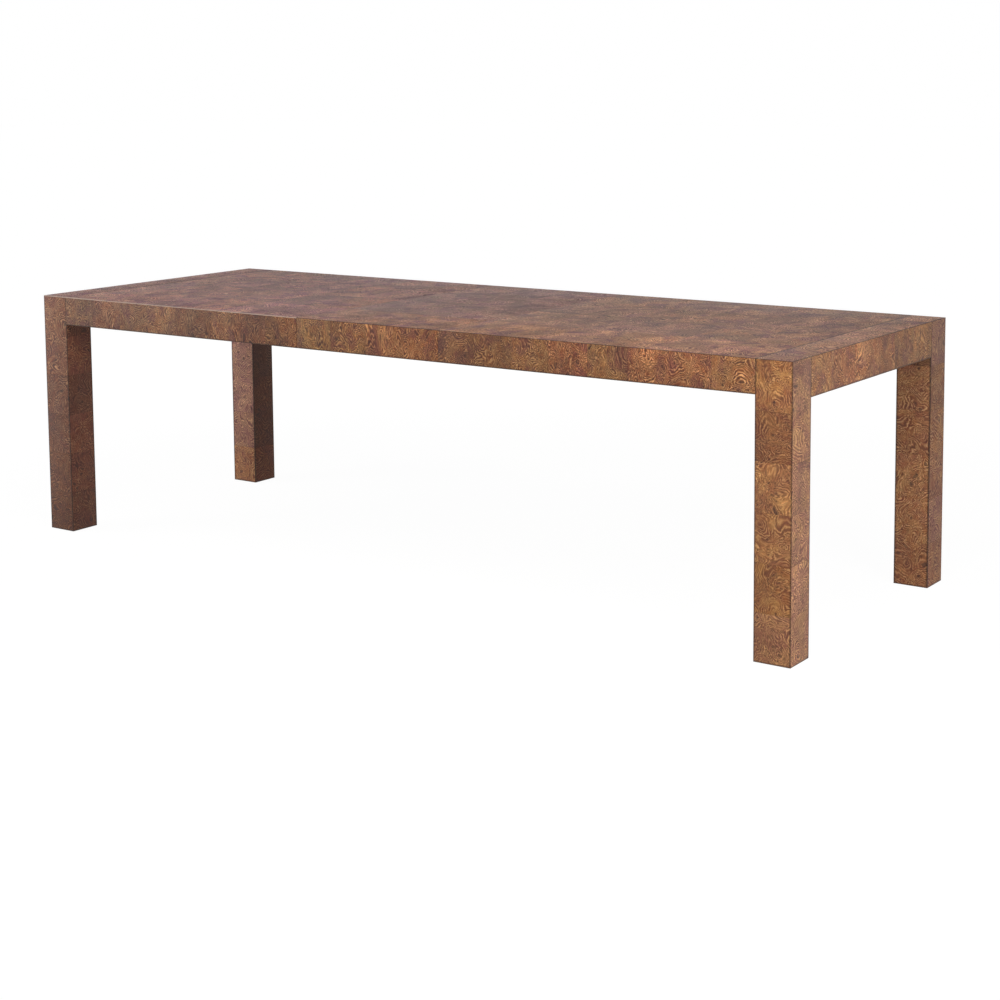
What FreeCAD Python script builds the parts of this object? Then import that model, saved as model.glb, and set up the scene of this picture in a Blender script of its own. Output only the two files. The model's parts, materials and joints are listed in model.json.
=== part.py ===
"""Parsons extension dining table: two veneered end halves, one drop-in leaf, geared wooden slides.

Millimetres. The origin is on the floor under the middle of the table, +X runs along its length,
+Z is up. The leaf is in place, so the two seams stand half a leaf either side of the origin.
The right half is the left half turned through 180 degrees about Z, apart from its seam fittings.
"""
import FreeCAD, Part
import math
import os

Vector = FreeCAD.Vector
UP = Vector(0, 0, 1)
ORIGIN = Vector(0, 0, 0)

# Overall sizes
TABLE_HEIGHT = 762.0
TABLE_DEPTH = 965.2
HALF_LENGTH = 1066.8          # an end half, from its end face to its seam
LEAF_LENGTH = 508.0           # the leaf, from seam to seam
LEG_SIDE = 101.6
LONG_APRON_HEIGHT = 88.9      # from the table's top face to the apron's lower edge
END_APRON_HEIGHT = 101.6

# Boards and veneer
VENEER = 1.0
TOP_CORE = 19.0
APRON_CORE = 22.0
LEG_BOARD = 18.0
LEG_TOP_BLOCK = 110.0         # height of the solid block in a leg's head
LEG_FOOT_BLOCK = 40.0
SEAM_GAP = 0.4                # daylight between the leaf and a half
GLUE_GAP = 0.05               # round parts that are glued, driven or screwed in
RUNNING_GAP = 0.08            # round parts that turn or slide in a hole

# How many sheets of veneer each surface takes
FIELD_COLUMNS = 6
FIELD_ROWS = 4
BAND_SHEET_COUNT = 8
LEAF_COLUMNS = 3
LONG_APRON_SHEET_COUNT = 8
LEAF_APRON_SHEET_COUNT = 4
END_APRON_SHEET_COUNT = 6
LEG_SHEET_COUNT = 6

# Frame joints
DOWEL_RADIUS = 5.0
DOWEL_LENGTH = 40.0
DOWEL_LEVELS = (0.28, 0.72)   # shares of the apron board's height
CORNER_CHAMFER = 25.0
CORNER_BLOCK_THICK = 32.0
CORNER_BLOCK_HEIGHT = 60.0
CORNER_BLOCK_DROP = 2.0       # below the underside of the top
BOLT_RADIUS = 4.0
BOLT_HOLE_GAP = 0.5
BOLT_IN_LEG = 40.0
BOLT_TAIL = 3.0
BOLT_LEVELS = (0.28, 0.72)    # shares of the corner block's height
WASHER_RADIUS = 9.0
WASHER_THICK = 1.6
NUT_ACROSS_FLATS = 13.0
NUT_HEIGHT = 6.5
GLUE_BLOCK_SIDE = 28.0
GLUE_BLOCK_LENGTH = 80.0
LONG_GLUE_BLOCK_COUNT = 3
LONG_GLUE_BLOCK_INSET = 300.0  # from the end face to the first block's middle
SEAM_GLUE_BLOCK_INSET = 110.0  # from the seam to the nearest block's middle
END_GLUE_BLOCK_SPACING = 280.0

# Glides
GLIDE_RADIUS = 22.0
GLIDE_HEIGHT = 3.0
GLIDE_NAIL_RADIUS = 1.5
GLIDE_NAIL_LENGTH = 24.0
GLIDE_NAIL_HEAD = 1.0         # nylon left under the nail

# Table slides
RAIL_LENGTH = 900.0
RAIL_WIDTH = 28.0
RAIL_HEIGHT = 50.0
RAIL_GAP = 1.0                # between neighbouring rails
SLIDE_INSET = 252.6           # from the table's side to a slide's middle rail
RUNNER_DROP = 0.5             # the middle rail clears the underside of the top
SPARE_TRAVEL = 101.6          # opening beyond the leaf's own length
STOP_GAP = 0.3
STOP_RADIUS = 3.0
TONGUE_DROP = 14.0            # from the rails' top to the tongue's middle
TONGUE_INLAY = 5.0
TONGUE_NECK = 4.0             # half of its height where it leaves the middle rail
TONGUE_HEAD = 6.5             # half of its height at the tip
TONGUE_REACH = 5.0            # into the outer rail
TONGUE_END = 100.0            # how far past the middle rail's centre it runs
TONGUE_CLEARANCE = 0.3
RAIL_SCREW_COUNT = 4
RAIL_SCREW_INSET = 34.0
RAIL_SCREW_OFFSET = 2.0       # away from the grooved face
RAIL_SCREW_DEPTH = 14.0       # into the top
COUNTERBORE_RADIUS = 5.5
COUNTERBORE_DEPTH = 20.0
RAIL_SCREW_RADIUS = 2.5
RAIL_SCREW_HEAD = 4.5
RAIL_SCREW_HEAD_HEIGHT = 3.0

# Rack and pinion that keep the middle rails centred
GEAR_MODULE = 1.5
PINION_TEETH = 24
PRESSURE_ANGLE = math.radians(20.0)
BACKLASH = 0.3
ROOT_CLEARANCE = 0.375
PINION_THICK = 7.0
RACK_THICK = 8.0
RACK_BACK = 3.0               # solid depth behind the rack's tooth roots
RACK_OVERRUN = 24.0
PINION_DROP = 36.0            # from the rails' top to the pinion's middle
PINION_POCKET_GAP = 1.0
AXLE_RADIUS = 3.0
AXLE_ABOVE_PINION = 11.0
INVOLUTE_STEPS = 5

# Seam pins
PIN_RADIUS = 4.5
PIN_DEPTH = 25.0
PIN_REACH = 12.0
PIN_INSET = 182.6             # from the table's side to the outer pins
BUSHING_RADIUS = 6.5
BUSHING_LENGTH = 16.0

# Leaf locks
LOCK_INSET = 147.6            # from the table's side to a lock's pivot
LOCK_SETBACK = 32.0           # from the seam to the pivot
KEEPER_SETBACK = 18.0         # from the seam to the keeper's stud
PLATE_THICK = 2.0
LOCK_PLATE_LENGTH = 46.0
LOCK_PLATE_WIDTH = 34.0
KEEPER_PLATE_LENGTH = 24.0
KEEPER_PLATE_WIDTH = 44.0
PLATE_SCREW_MARGIN = 6.0
PLATE_SCREW_RADIUS = 1.75
PLATE_SCREW_HEAD = 3.5
PLATE_SCREW_LENGTH = 14.0
LEVER_THICK = 3.0
LEVER_GAP = 0.3
LEVER_WIDTH = 16.0
LEVER_HUB = 12.0
LEVER_LENGTH = 84.0
LEVER_TAB = 12.0
RIVET_RADIUS = 4.0
RIVET_HEAD_RADIUS = 7.0
HEAD_THICK = 2.2
STUD_RADIUS = 3.0
STUD_HEAD_RADIUS = 5.0
STUD_PLAY = 0.4

# Places worked out from the sizes
END_X = LEAF_LENGTH / 2 + HALF_LENGTH
SIDE_Y = TABLE_DEPTH / 2
HALF_EDGE = LEAF_LENGTH / 2 + SEAM_GAP / 2
LEAF_EDGE = LEAF_LENGTH / 2 - SEAM_GAP / 2
CORE_TOP = TABLE_HEIGHT - VENEER
CORE_BOTTOM = CORE_TOP - TOP_CORE
LEG_CORE_FACE = LEG_SIDE - VENEER
APRON_INNER = VENEER + APRON_CORE
LONG_APRON_LOW = TABLE_HEIGHT - LONG_APRON_HEIGHT
END_APRON_LOW = TABLE_HEIGHT - END_APRON_HEIGHT
CORNER_NEAR = 2 * LEG_CORE_FACE - CORNER_CHAMFER
CORNER_FAR = CORNER_NEAR + CORNER_BLOCK_THICK * math.sqrt(2)
CORNER_BLOCK_TOP = CORE_BOTTOM - CORNER_BLOCK_DROP
CORNER_BLOCK_LOW = CORNER_BLOCK_TOP - CORNER_BLOCK_HEIGHT
SLIDE_OFFSET = SIDE_Y - SLIDE_INSET
SLIDES = (-SLIDE_OFFSET, SLIDE_OFFSET)
RAIL_LOW = CORE_BOTTOM - RAIL_HEIGHT
TONGUE_Z = CORE_BOTTOM - TONGUE_DROP
PINION_Z = CORE_BOTTOM - PINION_DROP
PITCH_RADIUS = GEAR_MODULE * PINION_TEETH / 2
RAIL_FACE = RAIL_WIDTH / 2 + RAIL_GAP
LOCK_OFFSET = SIDE_Y - LOCK_INSET
PLATE_LOW = CORE_BOTTOM - PLATE_THICK
LEVER_TOP = PLATE_LOW - LEVER_GAP
LEVER_LOW = LEVER_TOP - LEVER_THICK
HEAD_TOP = LEVER_LOW - LEVER_GAP
LOCK_REACH = LOCK_SETBACK + KEEPER_SETBACK
PIN_ROWS = (PIN_INSET - SIDE_Y, 0.0, SIDE_Y - PIN_INSET)
FRONT = -1
BACK = 1
SIDES = (FRONT, BACK)
CUT = 1.0                     # how far a cutting tool runs past the faces that it opens


# Shapes and helpers

def box(x0, x1, y0, y1, z0, z1):
    """A box between two corners, given in either order."""
    low = Vector(min(x0, x1), min(y0, y1), min(z0, z1))
    return Part.makeBox(abs(x1 - x0), abs(y1 - y0), abs(z1 - z0), low)


def extruded(points, along):
    """A closed outline of corner points, pushed along a vector."""
    wire = Part.makePolygon(points + [points[0]])
    solid = Part.Face(wire).extrude(along)
    return solid


def rod(start, direction, radius, length):
    return Part.makeCylinder(radius, length, start, direction)


def spans(start, end, count):
    """The neighbouring stretches that divide start to end into equal parts."""
    step = (end - start) / count
    return [(start + i * step, start + (i + 1) * step) for i in range(count)]


def spaced(start, end, count):
    """Evenly spaced places from start to end."""
    return [start + (end - start) * i / (count - 1) for i in range(count)]


def cut_all(solid, tools):
    for tool in tools:
        solid = solid.cut(tool)
    return solid.Solids[0]


def half_turn(solids):
    """Copies turned through 180 degrees about Z: a piece of the left half becomes one of the right."""
    turned = [solid.copy() for solid in solids]
    for solid in turned:
        solid.rotate(ORIGIN, UP, 180)
    return turned


def save(node, solids):
    Part.Compound(solids).exportStep(f"parts/{node}.step")
    print(f"{node}: {len(solids)} solids")


# A corner's own plan coordinates: u runs in from the left end face, w in from the front or back face

def at_corner(u, w, side, z):
    return Vector(-END_X + u, side * (SIDE_Y - w), z)


def corner_prism(plan, side, z0, z1):
    return extruded([at_corner(u, w, side, z0) for u, w in plan], Vector(0, 0, z1 - z0))


def corner_box(u0, u1, w0, w1, side, z0, z1):
    return corner_prism([(u0, w0), (u1, w0), (u1, w1), (u0, w1)], side, z0, z1)


def corner_direction(side):
    """Level, from the leg's outer corner towards the middle of the table."""
    return Vector(1, -side, 0).normalize()


# Veneer

def top_veneer_half():
    """A cross band over the legs and end apron, then rows and columns of field sheets."""
    band = -END_X + LEG_SIDE
    sheets = [box(-END_X, band, y0, y1, CORE_TOP, TABLE_HEIGHT)
              for y0, y1 in spans(-SIDE_Y, SIDE_Y, BAND_SHEET_COUNT)]
    return sheets + field_sheets(band, -HALF_EDGE, FIELD_COLUMNS)


def field_sheets(x_start, x_end, columns):
    return [box(x0, x1, y0, y1, CORE_TOP, TABLE_HEIGHT)
            for x0, x1 in spans(x_start, x_end, columns)
            for y0, y1 in spans(-SIDE_Y, SIDE_Y, FIELD_ROWS)]


def long_apron_veneer(x_start, x_end, side, sheets):
    """Face sheets and the strip under the lower edge, for a front or back apron."""
    face = [box(x0, x1, side * SIDE_Y, side * (SIDE_Y - VENEER), LONG_APRON_LOW, CORE_TOP)
            for x0, x1 in spans(x_start, x_end, sheets)]
    strip = box(x_start, x_end, side * (SIDE_Y - VENEER), side * (SIDE_Y - APRON_INNER),
                LONG_APRON_LOW, LONG_APRON_LOW + VENEER)
    return face + [strip]


def end_apron_veneer():
    inner = SIDE_Y - LEG_SIDE
    face = [box(-END_X, -END_X + VENEER, y0, y1, END_APRON_LOW, CORE_TOP)
            for y0, y1 in spans(-inner, inner, END_APRON_SHEET_COUNT)]
    strip = box(-END_X + VENEER, -END_X + APRON_INNER, -inner, inner,
                END_APRON_LOW, END_APRON_LOW + VENEER)
    return face + [strip]


def leg_veneer(side):
    """Four faces of stacked sheets. The two inner faces stop under the aprons."""
    levels = spans(GLIDE_HEIGHT, CORE_TOP, LEG_SHEET_COUNT)
    faces = [
        (0, LEG_SIDE, 0, VENEER, CORE_TOP),
        (0, VENEER, VENEER, LEG_SIDE, CORE_TOP),
        (LEG_CORE_FACE, LEG_SIDE, VENEER, LEG_SIDE, LONG_APRON_LOW + VENEER),
        (VENEER, LEG_CORE_FACE, LEG_CORE_FACE, LEG_SIDE, END_APRON_LOW + VENEER),
    ]
    sheets = []
    for u0, u1, w0, w1, top in faces:
        for z0, z1 in levels:
            if z0 < top:
                sheets.append(corner_box(u0, u1, w0, w1, side, z0, min(z1, top)))
    return sheets


# Legs and frame

def bolt_axes(side):
    """The start points of a corner's two bolts, inside the leg's head block."""
    start = CORNER_NEAR / math.sqrt(2) - BOLT_IN_LEG
    inset = start / math.sqrt(2)
    return [at_corner(inset, inset, side, CORNER_BLOCK_LOW + level * CORNER_BLOCK_HEIGHT)
            for level in BOLT_LEVELS]


def dowel_rods(side, gap):
    """Two dowels into each apron that meets a leg, and the same rods a little wider as drills."""
    rods = []
    back = DOWEL_LENGTH / 2
    for low, along_x in ((LONG_APRON_LOW, True), (END_APRON_LOW, False)):
        board_low = low + VENEER
        for level in DOWEL_LEVELS:
            z = board_low + level * (CORE_BOTTOM - board_low)
            middle = VENEER + APRON_CORE / 2
            if along_x:
                start = at_corner(LEG_CORE_FACE - back, middle, side, z)
                direction = Vector(1, 0, 0)
            else:
                start = at_corner(middle, LEG_CORE_FACE - back, side, z)
                direction = Vector(0, -side, 0)
            rods.append(rod(start, direction, DOWEL_RADIUS + gap, DOWEL_LENGTH))
    return rods


def leg_core(side):
    """Four mitred boards round a head block and a foot block, chamfered for the corner block."""
    a, b = VENEER, LEG_CORE_FACE
    inner_a, inner_b = a + LEG_BOARD, b - LEG_BOARD
    outer = [(a, a), (b, a), (b, b), (a, b)]
    inner = [(inner_a, inner_a), (inner_b, inner_a), (inner_b, inner_b), (inner_a, inner_b)]
    pieces = []
    for i in range(4):
        j = (i + 1) % 4
        plan = [outer[i], outer[j], inner[j], inner[i]]
        pieces.append(corner_prism(plan, side, GLIDE_HEIGHT, CORE_BOTTOM))
    pieces.append(corner_prism(inner, side, CORE_BOTTOM - LEG_TOP_BLOCK, CORE_BOTTOM))
    pieces.append(corner_prism(inner, side, GLIDE_HEIGHT, GLIDE_HEIGHT + LEG_FOOT_BLOCK))

    past = b + CUT
    near = b - CORNER_CHAMFER - CUT
    chamfer = corner_prism([(near, past), (past, near), (past, past)], side,
                           CORNER_BLOCK_LOW, CORE_BOTTOM + CUT)
    drills = [rod(start, corner_direction(side), BOLT_RADIUS + GLUE_GAP, BOLT_IN_LEG + CUT)
              for start in bolt_axes(side)]
    drills += dowel_rods(side, GLUE_GAP)
    drills.append(glide_nail(side, GLUE_GAP))
    return [cut_all(piece, [chamfer] + drills) for piece in pieces]


def glide_nail(side, gap):
    start = at_corner(LEG_SIDE / 2, LEG_SIDE / 2, side, GLIDE_NAIL_HEAD)
    return rod(start, UP, GLIDE_NAIL_RADIUS + gap, GLIDE_NAIL_LENGTH)


def glide_pad(side):
    middle = at_corner(LEG_SIDE / 2, LEG_SIDE / 2, side, 0)
    pad = rod(middle, UP, GLIDE_RADIUS, GLIDE_HEIGHT)
    return pad.cut(glide_nail(side, GLUE_GAP)).Solids[0]


def long_apron_half(side):
    board = box(-END_X + LEG_CORE_FACE, -HALF_EDGE, side * (SIDE_Y - VENEER),
                side * (SIDE_Y - APRON_INNER), LONG_APRON_LOW + VENEER, CORE_BOTTOM)
    return cut_all(board, dowel_rods(side, GLUE_GAP))


def end_apron():
    inner = SIDE_Y - LEG_CORE_FACE
    board = box(-END_X + VENEER, -END_X + APRON_INNER, -inner, inner,
                END_APRON_LOW + VENEER, CORE_BOTTOM)
    return cut_all(board, dowel_rods(FRONT, GLUE_GAP) + dowel_rods(BACK, GLUE_GAP))


def leaf_apron(side):
    return box(-LEAF_EDGE, LEAF_EDGE, side * (SIDE_Y - VENEER), side * (SIDE_Y - APRON_INNER),
               LONG_APRON_LOW + VENEER, CORE_BOTTOM)


def corner_block(side):
    """A bar across the corner, from apron to apron, flat against the leg's chamfer."""
    plan = [(CORNER_NEAR - APRON_INNER, APRON_INNER), (CORNER_FAR - APRON_INNER, APRON_INNER),
            (APRON_INNER, CORNER_FAR - APRON_INNER), (APRON_INNER, CORNER_NEAR - APRON_INNER)]
    block = corner_prism(plan, side, CORNER_BLOCK_LOW, CORNER_BLOCK_TOP)
    length = BOLT_IN_LEG + CORNER_BLOCK_THICK + CUT
    drills = [rod(start, corner_direction(side), BOLT_RADIUS + BOLT_HOLE_GAP, length)
              for start in bolt_axes(side)]
    return cut_all(block, drills)


def corner_bolts(side):
    """Each hanger bolt with its washer and hexagon nut."""
    direction = corner_direction(side)
    clamped = BOLT_IN_LEG + CORNER_BLOCK_THICK
    pieces = []
    for start in bolt_axes(side):
        length = clamped + WASHER_THICK + NUT_HEIGHT + BOLT_TAIL
        pieces.append(rod(start, direction, BOLT_RADIUS, length))
        drill = rod(start, direction, BOLT_RADIUS + GLUE_GAP, length)
        washer = rod(start + direction * clamped, direction, WASHER_RADIUS, WASHER_THICK)
        pieces.append(washer.cut(drill).Solids[0])
        nut_face = start + direction * (clamped + WASHER_THICK)
        pieces.append(hexagon(nut_face, direction).cut(drill).Solids[0])
    return pieces


def hexagon(centre, direction):
    across = direction.cross(UP)
    corner = NUT_ACROSS_FLATS / math.sqrt(3)
    points = []
    for i in range(6):
        angle = math.radians(60 * i)
        points.append(centre + across * (corner * math.cos(angle)) + UP * (corner * math.sin(angle)))
    return extruded(points, direction * NUT_HEIGHT)


def long_glue_block(x, side):
    """A three-cornered block along the joint of a long apron and the top."""
    face = SIDE_Y - APRON_INNER
    low = x - GLUE_BLOCK_LENGTH / 2
    points = [Vector(low, side * face, CORE_BOTTOM),
              Vector(low, side * (face - GLUE_BLOCK_SIDE), CORE_BOTTOM),
              Vector(low, side * face, CORE_BOTTOM - GLUE_BLOCK_SIDE)]
    return extruded(points, Vector(GLUE_BLOCK_LENGTH, 0, 0))


def end_glue_block(y):
    face = -END_X + APRON_INNER
    low = y - GLUE_BLOCK_LENGTH / 2
    points = [Vector(face, low, CORE_BOTTOM), Vector(face + GLUE_BLOCK_SIDE, low, CORE_BOTTOM),
              Vector(face, low, CORE_BOTTOM - GLUE_BLOCK_SIDE)]
    return extruded(points, Vector(0, GLUE_BLOCK_LENGTH, 0))


def half_glue_blocks():
    places = spaced(-END_X + LONG_GLUE_BLOCK_INSET, -HALF_EDGE - SEAM_GLUE_BLOCK_INSET,
                    LONG_GLUE_BLOCK_COUNT)
    blocks = [long_glue_block(x, side) for x in places for side in SIDES]
    return blocks + [end_glue_block(y * END_GLUE_BLOCK_SPACING / 2) for y in (-1, 1)]


def leaf_glue_blocks():
    place = LEAF_EDGE - SEAM_GLUE_BLOCK_INSET
    return [long_glue_block(x, side) for x in (-place, place) for side in SIDES]


# Slides

def left_rail_start():
    return -LEAF_LENGTH / 2 - RAIL_LENGTH / 2


def left_rail_screws(centre):
    """Where the rail of the left half is screwed up into its top."""
    y = centre - RAIL_FACE - RAIL_WIDTH / 2 - RAIL_SCREW_OFFSET
    xs = spaced(left_rail_start() + RAIL_SCREW_INSET, -HALF_EDGE - RAIL_SCREW_INSET, RAIL_SCREW_COUNT)
    return [(x, y) for x in xs]


def half_rail_screws():
    return [place for centre in SLIDES for place in left_rail_screws(centre)]


def rail_screw(x, y, gap):
    head = rod(Vector(x, y, RAIL_LOW + COUNTERBORE_DEPTH - RAIL_SCREW_HEAD_HEIGHT), UP,
               RAIL_SCREW_HEAD, RAIL_SCREW_HEAD_HEIGHT)
    shank = rod(Vector(x, y, RAIL_LOW + COUNTERBORE_DEPTH), UP, RAIL_SCREW_RADIUS + gap,
                RAIL_HEIGHT - COUNTERBORE_DEPTH + RAIL_SCREW_DEPTH)
    return head.fuse(shank).removeSplitter().Solids[0]


def tongue_outline(face_y, outward, clearance, x):
    """The dovetail tongue's section, outwards from the middle rail's side face."""
    flare = (TONGUE_HEAD - TONGUE_NECK) / TONGUE_REACH
    tip = RAIL_GAP + TONGUE_REACH + clearance
    neck = TONGUE_NECK + clearance
    head = TONGUE_HEAD + clearance + flare * clearance
    section = [(-TONGUE_INLAY, -neck), (RAIL_GAP, -neck), (tip, -head),
               (tip, head), (RAIL_GAP, neck), (-TONGUE_INLAY, neck)]
    return [Vector(x, face_y + outward * reach, TONGUE_Z + rise) for reach, rise in section]


def left_tongue(centre, clearance=0.0):
    """The tongue on the middle rail that rides in the rail of the left half."""
    outline = tongue_outline(centre - RAIL_WIDTH / 2, -1, clearance, -RAIL_LENGTH / 2)
    return extruded(outline, Vector(RAIL_LENGTH / 2 + TONGUE_END, 0, 0))


def stop_pin(centre, gap):
    """The pin across the rail's groove that the tongue's end meets when the table is fully open."""
    x = TONGUE_END + SPARE_TRAVEL / 2 + STOP_GAP + STOP_RADIUS
    y = centre - RAIL_FACE - TONGUE_REACH / 2
    start = Vector(x, y, RAIL_LOW)
    return rod(start, UP, STOP_RADIUS + gap, TONGUE_Z + TONGUE_HEAD - RAIL_LOW)


def left_rail(centre):
    start = left_rail_start()
    near = centre - RAIL_FACE
    rail = box(start, start + RAIL_LENGTH, near - RAIL_WIDTH, near, RAIL_LOW, CORE_BOTTOM)
    outline = tongue_outline(centre - RAIL_WIDTH / 2, -1, TONGUE_CLEARANCE, start - CUT)
    groove = extruded(outline, Vector(RAIL_LENGTH + 2 * CUT, 0, 0))
    rack_slot = box(start - CUT, start + RAIL_LENGTH + CUT, near + CUT, centre - rack_back_line(),
                    PINION_Z - RACK_THICK / 2, PINION_Z + RACK_THICK / 2)
    bores = []
    for x, y in left_rail_screws(centre):
        bores.append(rail_screw(x, y, GLUE_GAP))
        bores.append(rod(Vector(x, y, RAIL_LOW - CUT), UP, COUNTERBORE_RADIUS,
                         COUNTERBORE_DEPTH + CUT))
    return cut_all(rail, [groove, rack_slot, stop_pin(centre, GLUE_GAP)] + bores)


def centre_rail(centre):
    rail = box(-RAIL_LENGTH / 2, RAIL_LENGTH / 2, centre - RAIL_WIDTH / 2,
               centre + RAIL_WIDTH / 2, RAIL_LOW, CORE_BOTTOM - RUNNER_DROP)
    room = PITCH_RADIUS + GEAR_MODULE + PINION_POCKET_GAP
    half_thick = PINION_THICK / 2 + PINION_POCKET_GAP
    pocket = box(-room, room, centre - RAIL_FACE, centre + RAIL_FACE,
                 PINION_Z - half_thick, PINION_Z + half_thick)
    tools = [left_tongue(centre), right_tongue(centre), pocket, pinion_axle(centre, GLUE_GAP)]
    return cut_all(rail, tools)


def right_tongue(centre):
    return half_turn([left_tongue(-centre)])[0]


def pinion_axle(centre, gap):
    length = PINION_Z + AXLE_ABOVE_PINION - RAIL_LOW
    return rod(Vector(0, centre, RAIL_LOW), UP, AXLE_RADIUS + gap, length)


# Gearing

def rack_back_line():
    """From the middle rail's centre line to the back of a rack."""
    return PITCH_RADIUS + GEAR_MODULE + ROOT_CLEARANCE + RACK_BACK


def left_rack(centre):
    """A rack whose tooth gap stands over the pinion's axle with the leaf in place."""
    pitch = math.pi * GEAR_MODULE
    first = math.ceil((-LEAF_LENGTH / 2 - RACK_OVERRUN) / pitch)
    last = math.floor((SPARE_TRAVEL / 2 + RACK_OVERRUN) / pitch)
    slope = math.tan(PRESSURE_ANGLE)
    half_tooth = pitch / 4 - BACKLASH / 4
    root = PITCH_RADIUS + GEAR_MODULE + ROOT_CLEARANCE
    tip = PITCH_RADIUS - GEAR_MODULE
    half_root = half_tooth + slope * (root - PITCH_RADIUS)
    half_tip = half_tooth - slope * (PITCH_RADIUS - tip)
    outline = [(first * pitch, rack_back_line()), (first * pitch, root)]
    for i in range(first, last):
        middle = (i + 0.5) * pitch
        outline += [(middle - half_root, root), (middle - half_tip, tip),
                    (middle + half_tip, tip), (middle + half_root, root)]
    outline += [(last * pitch, root), (last * pitch, rack_back_line())]
    low = PINION_Z - RACK_THICK / 2
    points = [Vector(x, centre - depth, low) for x, depth in outline]
    return extruded(points, Vector(0, 0, RACK_THICK))


def pinion(centre):
    """An involute pinion with a tooth pointing at each rack."""
    base = PITCH_RADIUS * math.cos(PRESSURE_ANGLE)
    tip = PITCH_RADIUS + GEAR_MODULE
    root = PITCH_RADIUS - GEAR_MODULE - ROOT_CLEARANCE
    tooth_angle = (math.pi * GEAR_MODULE / 2 - BACKLASH / 2) / PITCH_RADIUS
    involute_at_pitch = math.tan(PRESSURE_ANGLE) - PRESSURE_ANGLE
    flank = []
    for radius in spaced(base, tip, INVOLUTE_STEPS):
        roll = math.acos(base / radius)
        half = tooth_angle / 2 + involute_at_pitch - (math.tan(roll) - roll)
        flank.append((radius, half))
    half_base = flank[0][1]
    points = []
    for tooth in range(PINION_TEETH):
        middle = math.radians(90) + tooth * 2 * math.pi / PINION_TEETH
        rising = [(root, -half_base)] + [(radius, -half) for radius, half in flank]
        falling = [(radius, half) for radius, half in reversed(flank)] + [(root, half_base)]
        for radius, turn in rising + falling:
            angle = middle + turn
            points.append(Vector(radius * math.cos(angle), centre + radius * math.sin(angle),
                                 PINION_Z - PINION_THICK / 2))
    gear = extruded(points, Vector(0, 0, PINION_THICK))
    bore = rod(Vector(0, centre, PINION_Z - PINION_THICK), UP, AXLE_RADIUS + RUNNING_GAP,
               2 * PINION_THICK)
    return gear.cut(bore).Solids[0]


# Seam pins and bushings

def seam_rods(edge, inward, radius, outside, inside):
    """Level rods across a seam edge. Inward is +1 or -1, the way into the panel."""
    z = CORE_BOTTOM + TOP_CORE / 2
    return [rod(Vector(edge - inward * outside, y, z), Vector(inward, 0, 0), radius,
                outside + inside) for y in PIN_ROWS]


def seam_pins(edge, inward, gap=0.0):
    return seam_rods(edge, inward, PIN_RADIUS + gap, PIN_REACH, PIN_DEPTH)


def bushing_drills(edge, inward):
    return seam_rods(edge, inward, BUSHING_RADIUS + GLUE_GAP, CUT, BUSHING_LENGTH)


def seam_bushings(edge, inward):
    sleeves = seam_rods(edge, inward, BUSHING_RADIUS, 0.0, BUSHING_LENGTH)
    bores = seam_rods(edge, inward, PIN_RADIUS + RUNNING_GAP, CUT, BUSHING_LENGTH + CUT)
    return [sleeve.cut(bore).Solids[0] for sleeve, bore in zip(sleeves, bores)]


# Leaf locks

def plate_screw(x, y, gap):
    """A countersunk screw, flush with the plate's lower face and driven up into the top."""
    head = Part.makeCone(PLATE_SCREW_HEAD + gap, PLATE_SCREW_RADIUS + gap, PLATE_THICK,
                         Vector(x, y, PLATE_LOW), UP)
    shank = rod(Vector(x, y, PLATE_LOW + PLATE_THICK), UP, PLATE_SCREW_RADIUS + gap,
                PLATE_SCREW_LENGTH - PLATE_THICK)
    return head.fuse(shank).removeSplitter().Solids[0]


def lock_screw_places(pivot_x, side):
    x = LOCK_PLATE_LENGTH / 2 - PLATE_SCREW_MARGIN
    y = LOCK_PLATE_WIDTH / 2 - PLATE_SCREW_MARGIN
    return [(pivot_x + i * x, side * LOCK_OFFSET + j * y) for i in (-1, 1) for j in (-1, 1)]


def keeper_screw_places(stud_x, side):
    y = KEEPER_PLATE_WIDTH / 2 - PLATE_SCREW_MARGIN
    return [(stud_x, side * LOCK_OFFSET + j * y) for j in (-1, 1)]


def fitting(x, side, length, width, screws, post_radius, head_radius):
    """A screwed plate and its headed post: a lock's base and rivet, or a keeper and its stud."""
    y = side * LOCK_OFFSET
    plate = box(x - length / 2, x + length / 2, y - width / 2, y + width / 2,
                PLATE_LOW, CORE_BOTTOM)
    drills = [plate_screw(sx, sy, GLUE_GAP) for sx, sy in screws]
    drills.append(rod(Vector(x, y, PLATE_LOW - CUT), UP, post_radius + GLUE_GAP,
                      PLATE_THICK + 2 * CUT))
    shaft = rod(Vector(x, y, HEAD_TOP), UP, post_radius, CORE_BOTTOM - HEAD_TOP)
    head = rod(Vector(x, y, HEAD_TOP - HEAD_THICK), UP, head_radius, HEAD_THICK)
    return [cut_all(plate, drills), shaft.fuse(head).removeSplitter().Solids[0]]


def lock_base(pivot_x, side):
    return fitting(pivot_x, side, LOCK_PLATE_LENGTH, LOCK_PLATE_WIDTH,
                   lock_screw_places(pivot_x, side), RIVET_RADIUS, RIVET_HEAD_RADIUS)


def keeper(stud_x, side):
    return fitting(stud_x, side, KEEPER_PLATE_LENGTH, KEEPER_PLATE_WIDTH,
                   keeper_screw_places(stud_x, side), STUD_RADIUS, STUD_HEAD_RADIUS)


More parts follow.
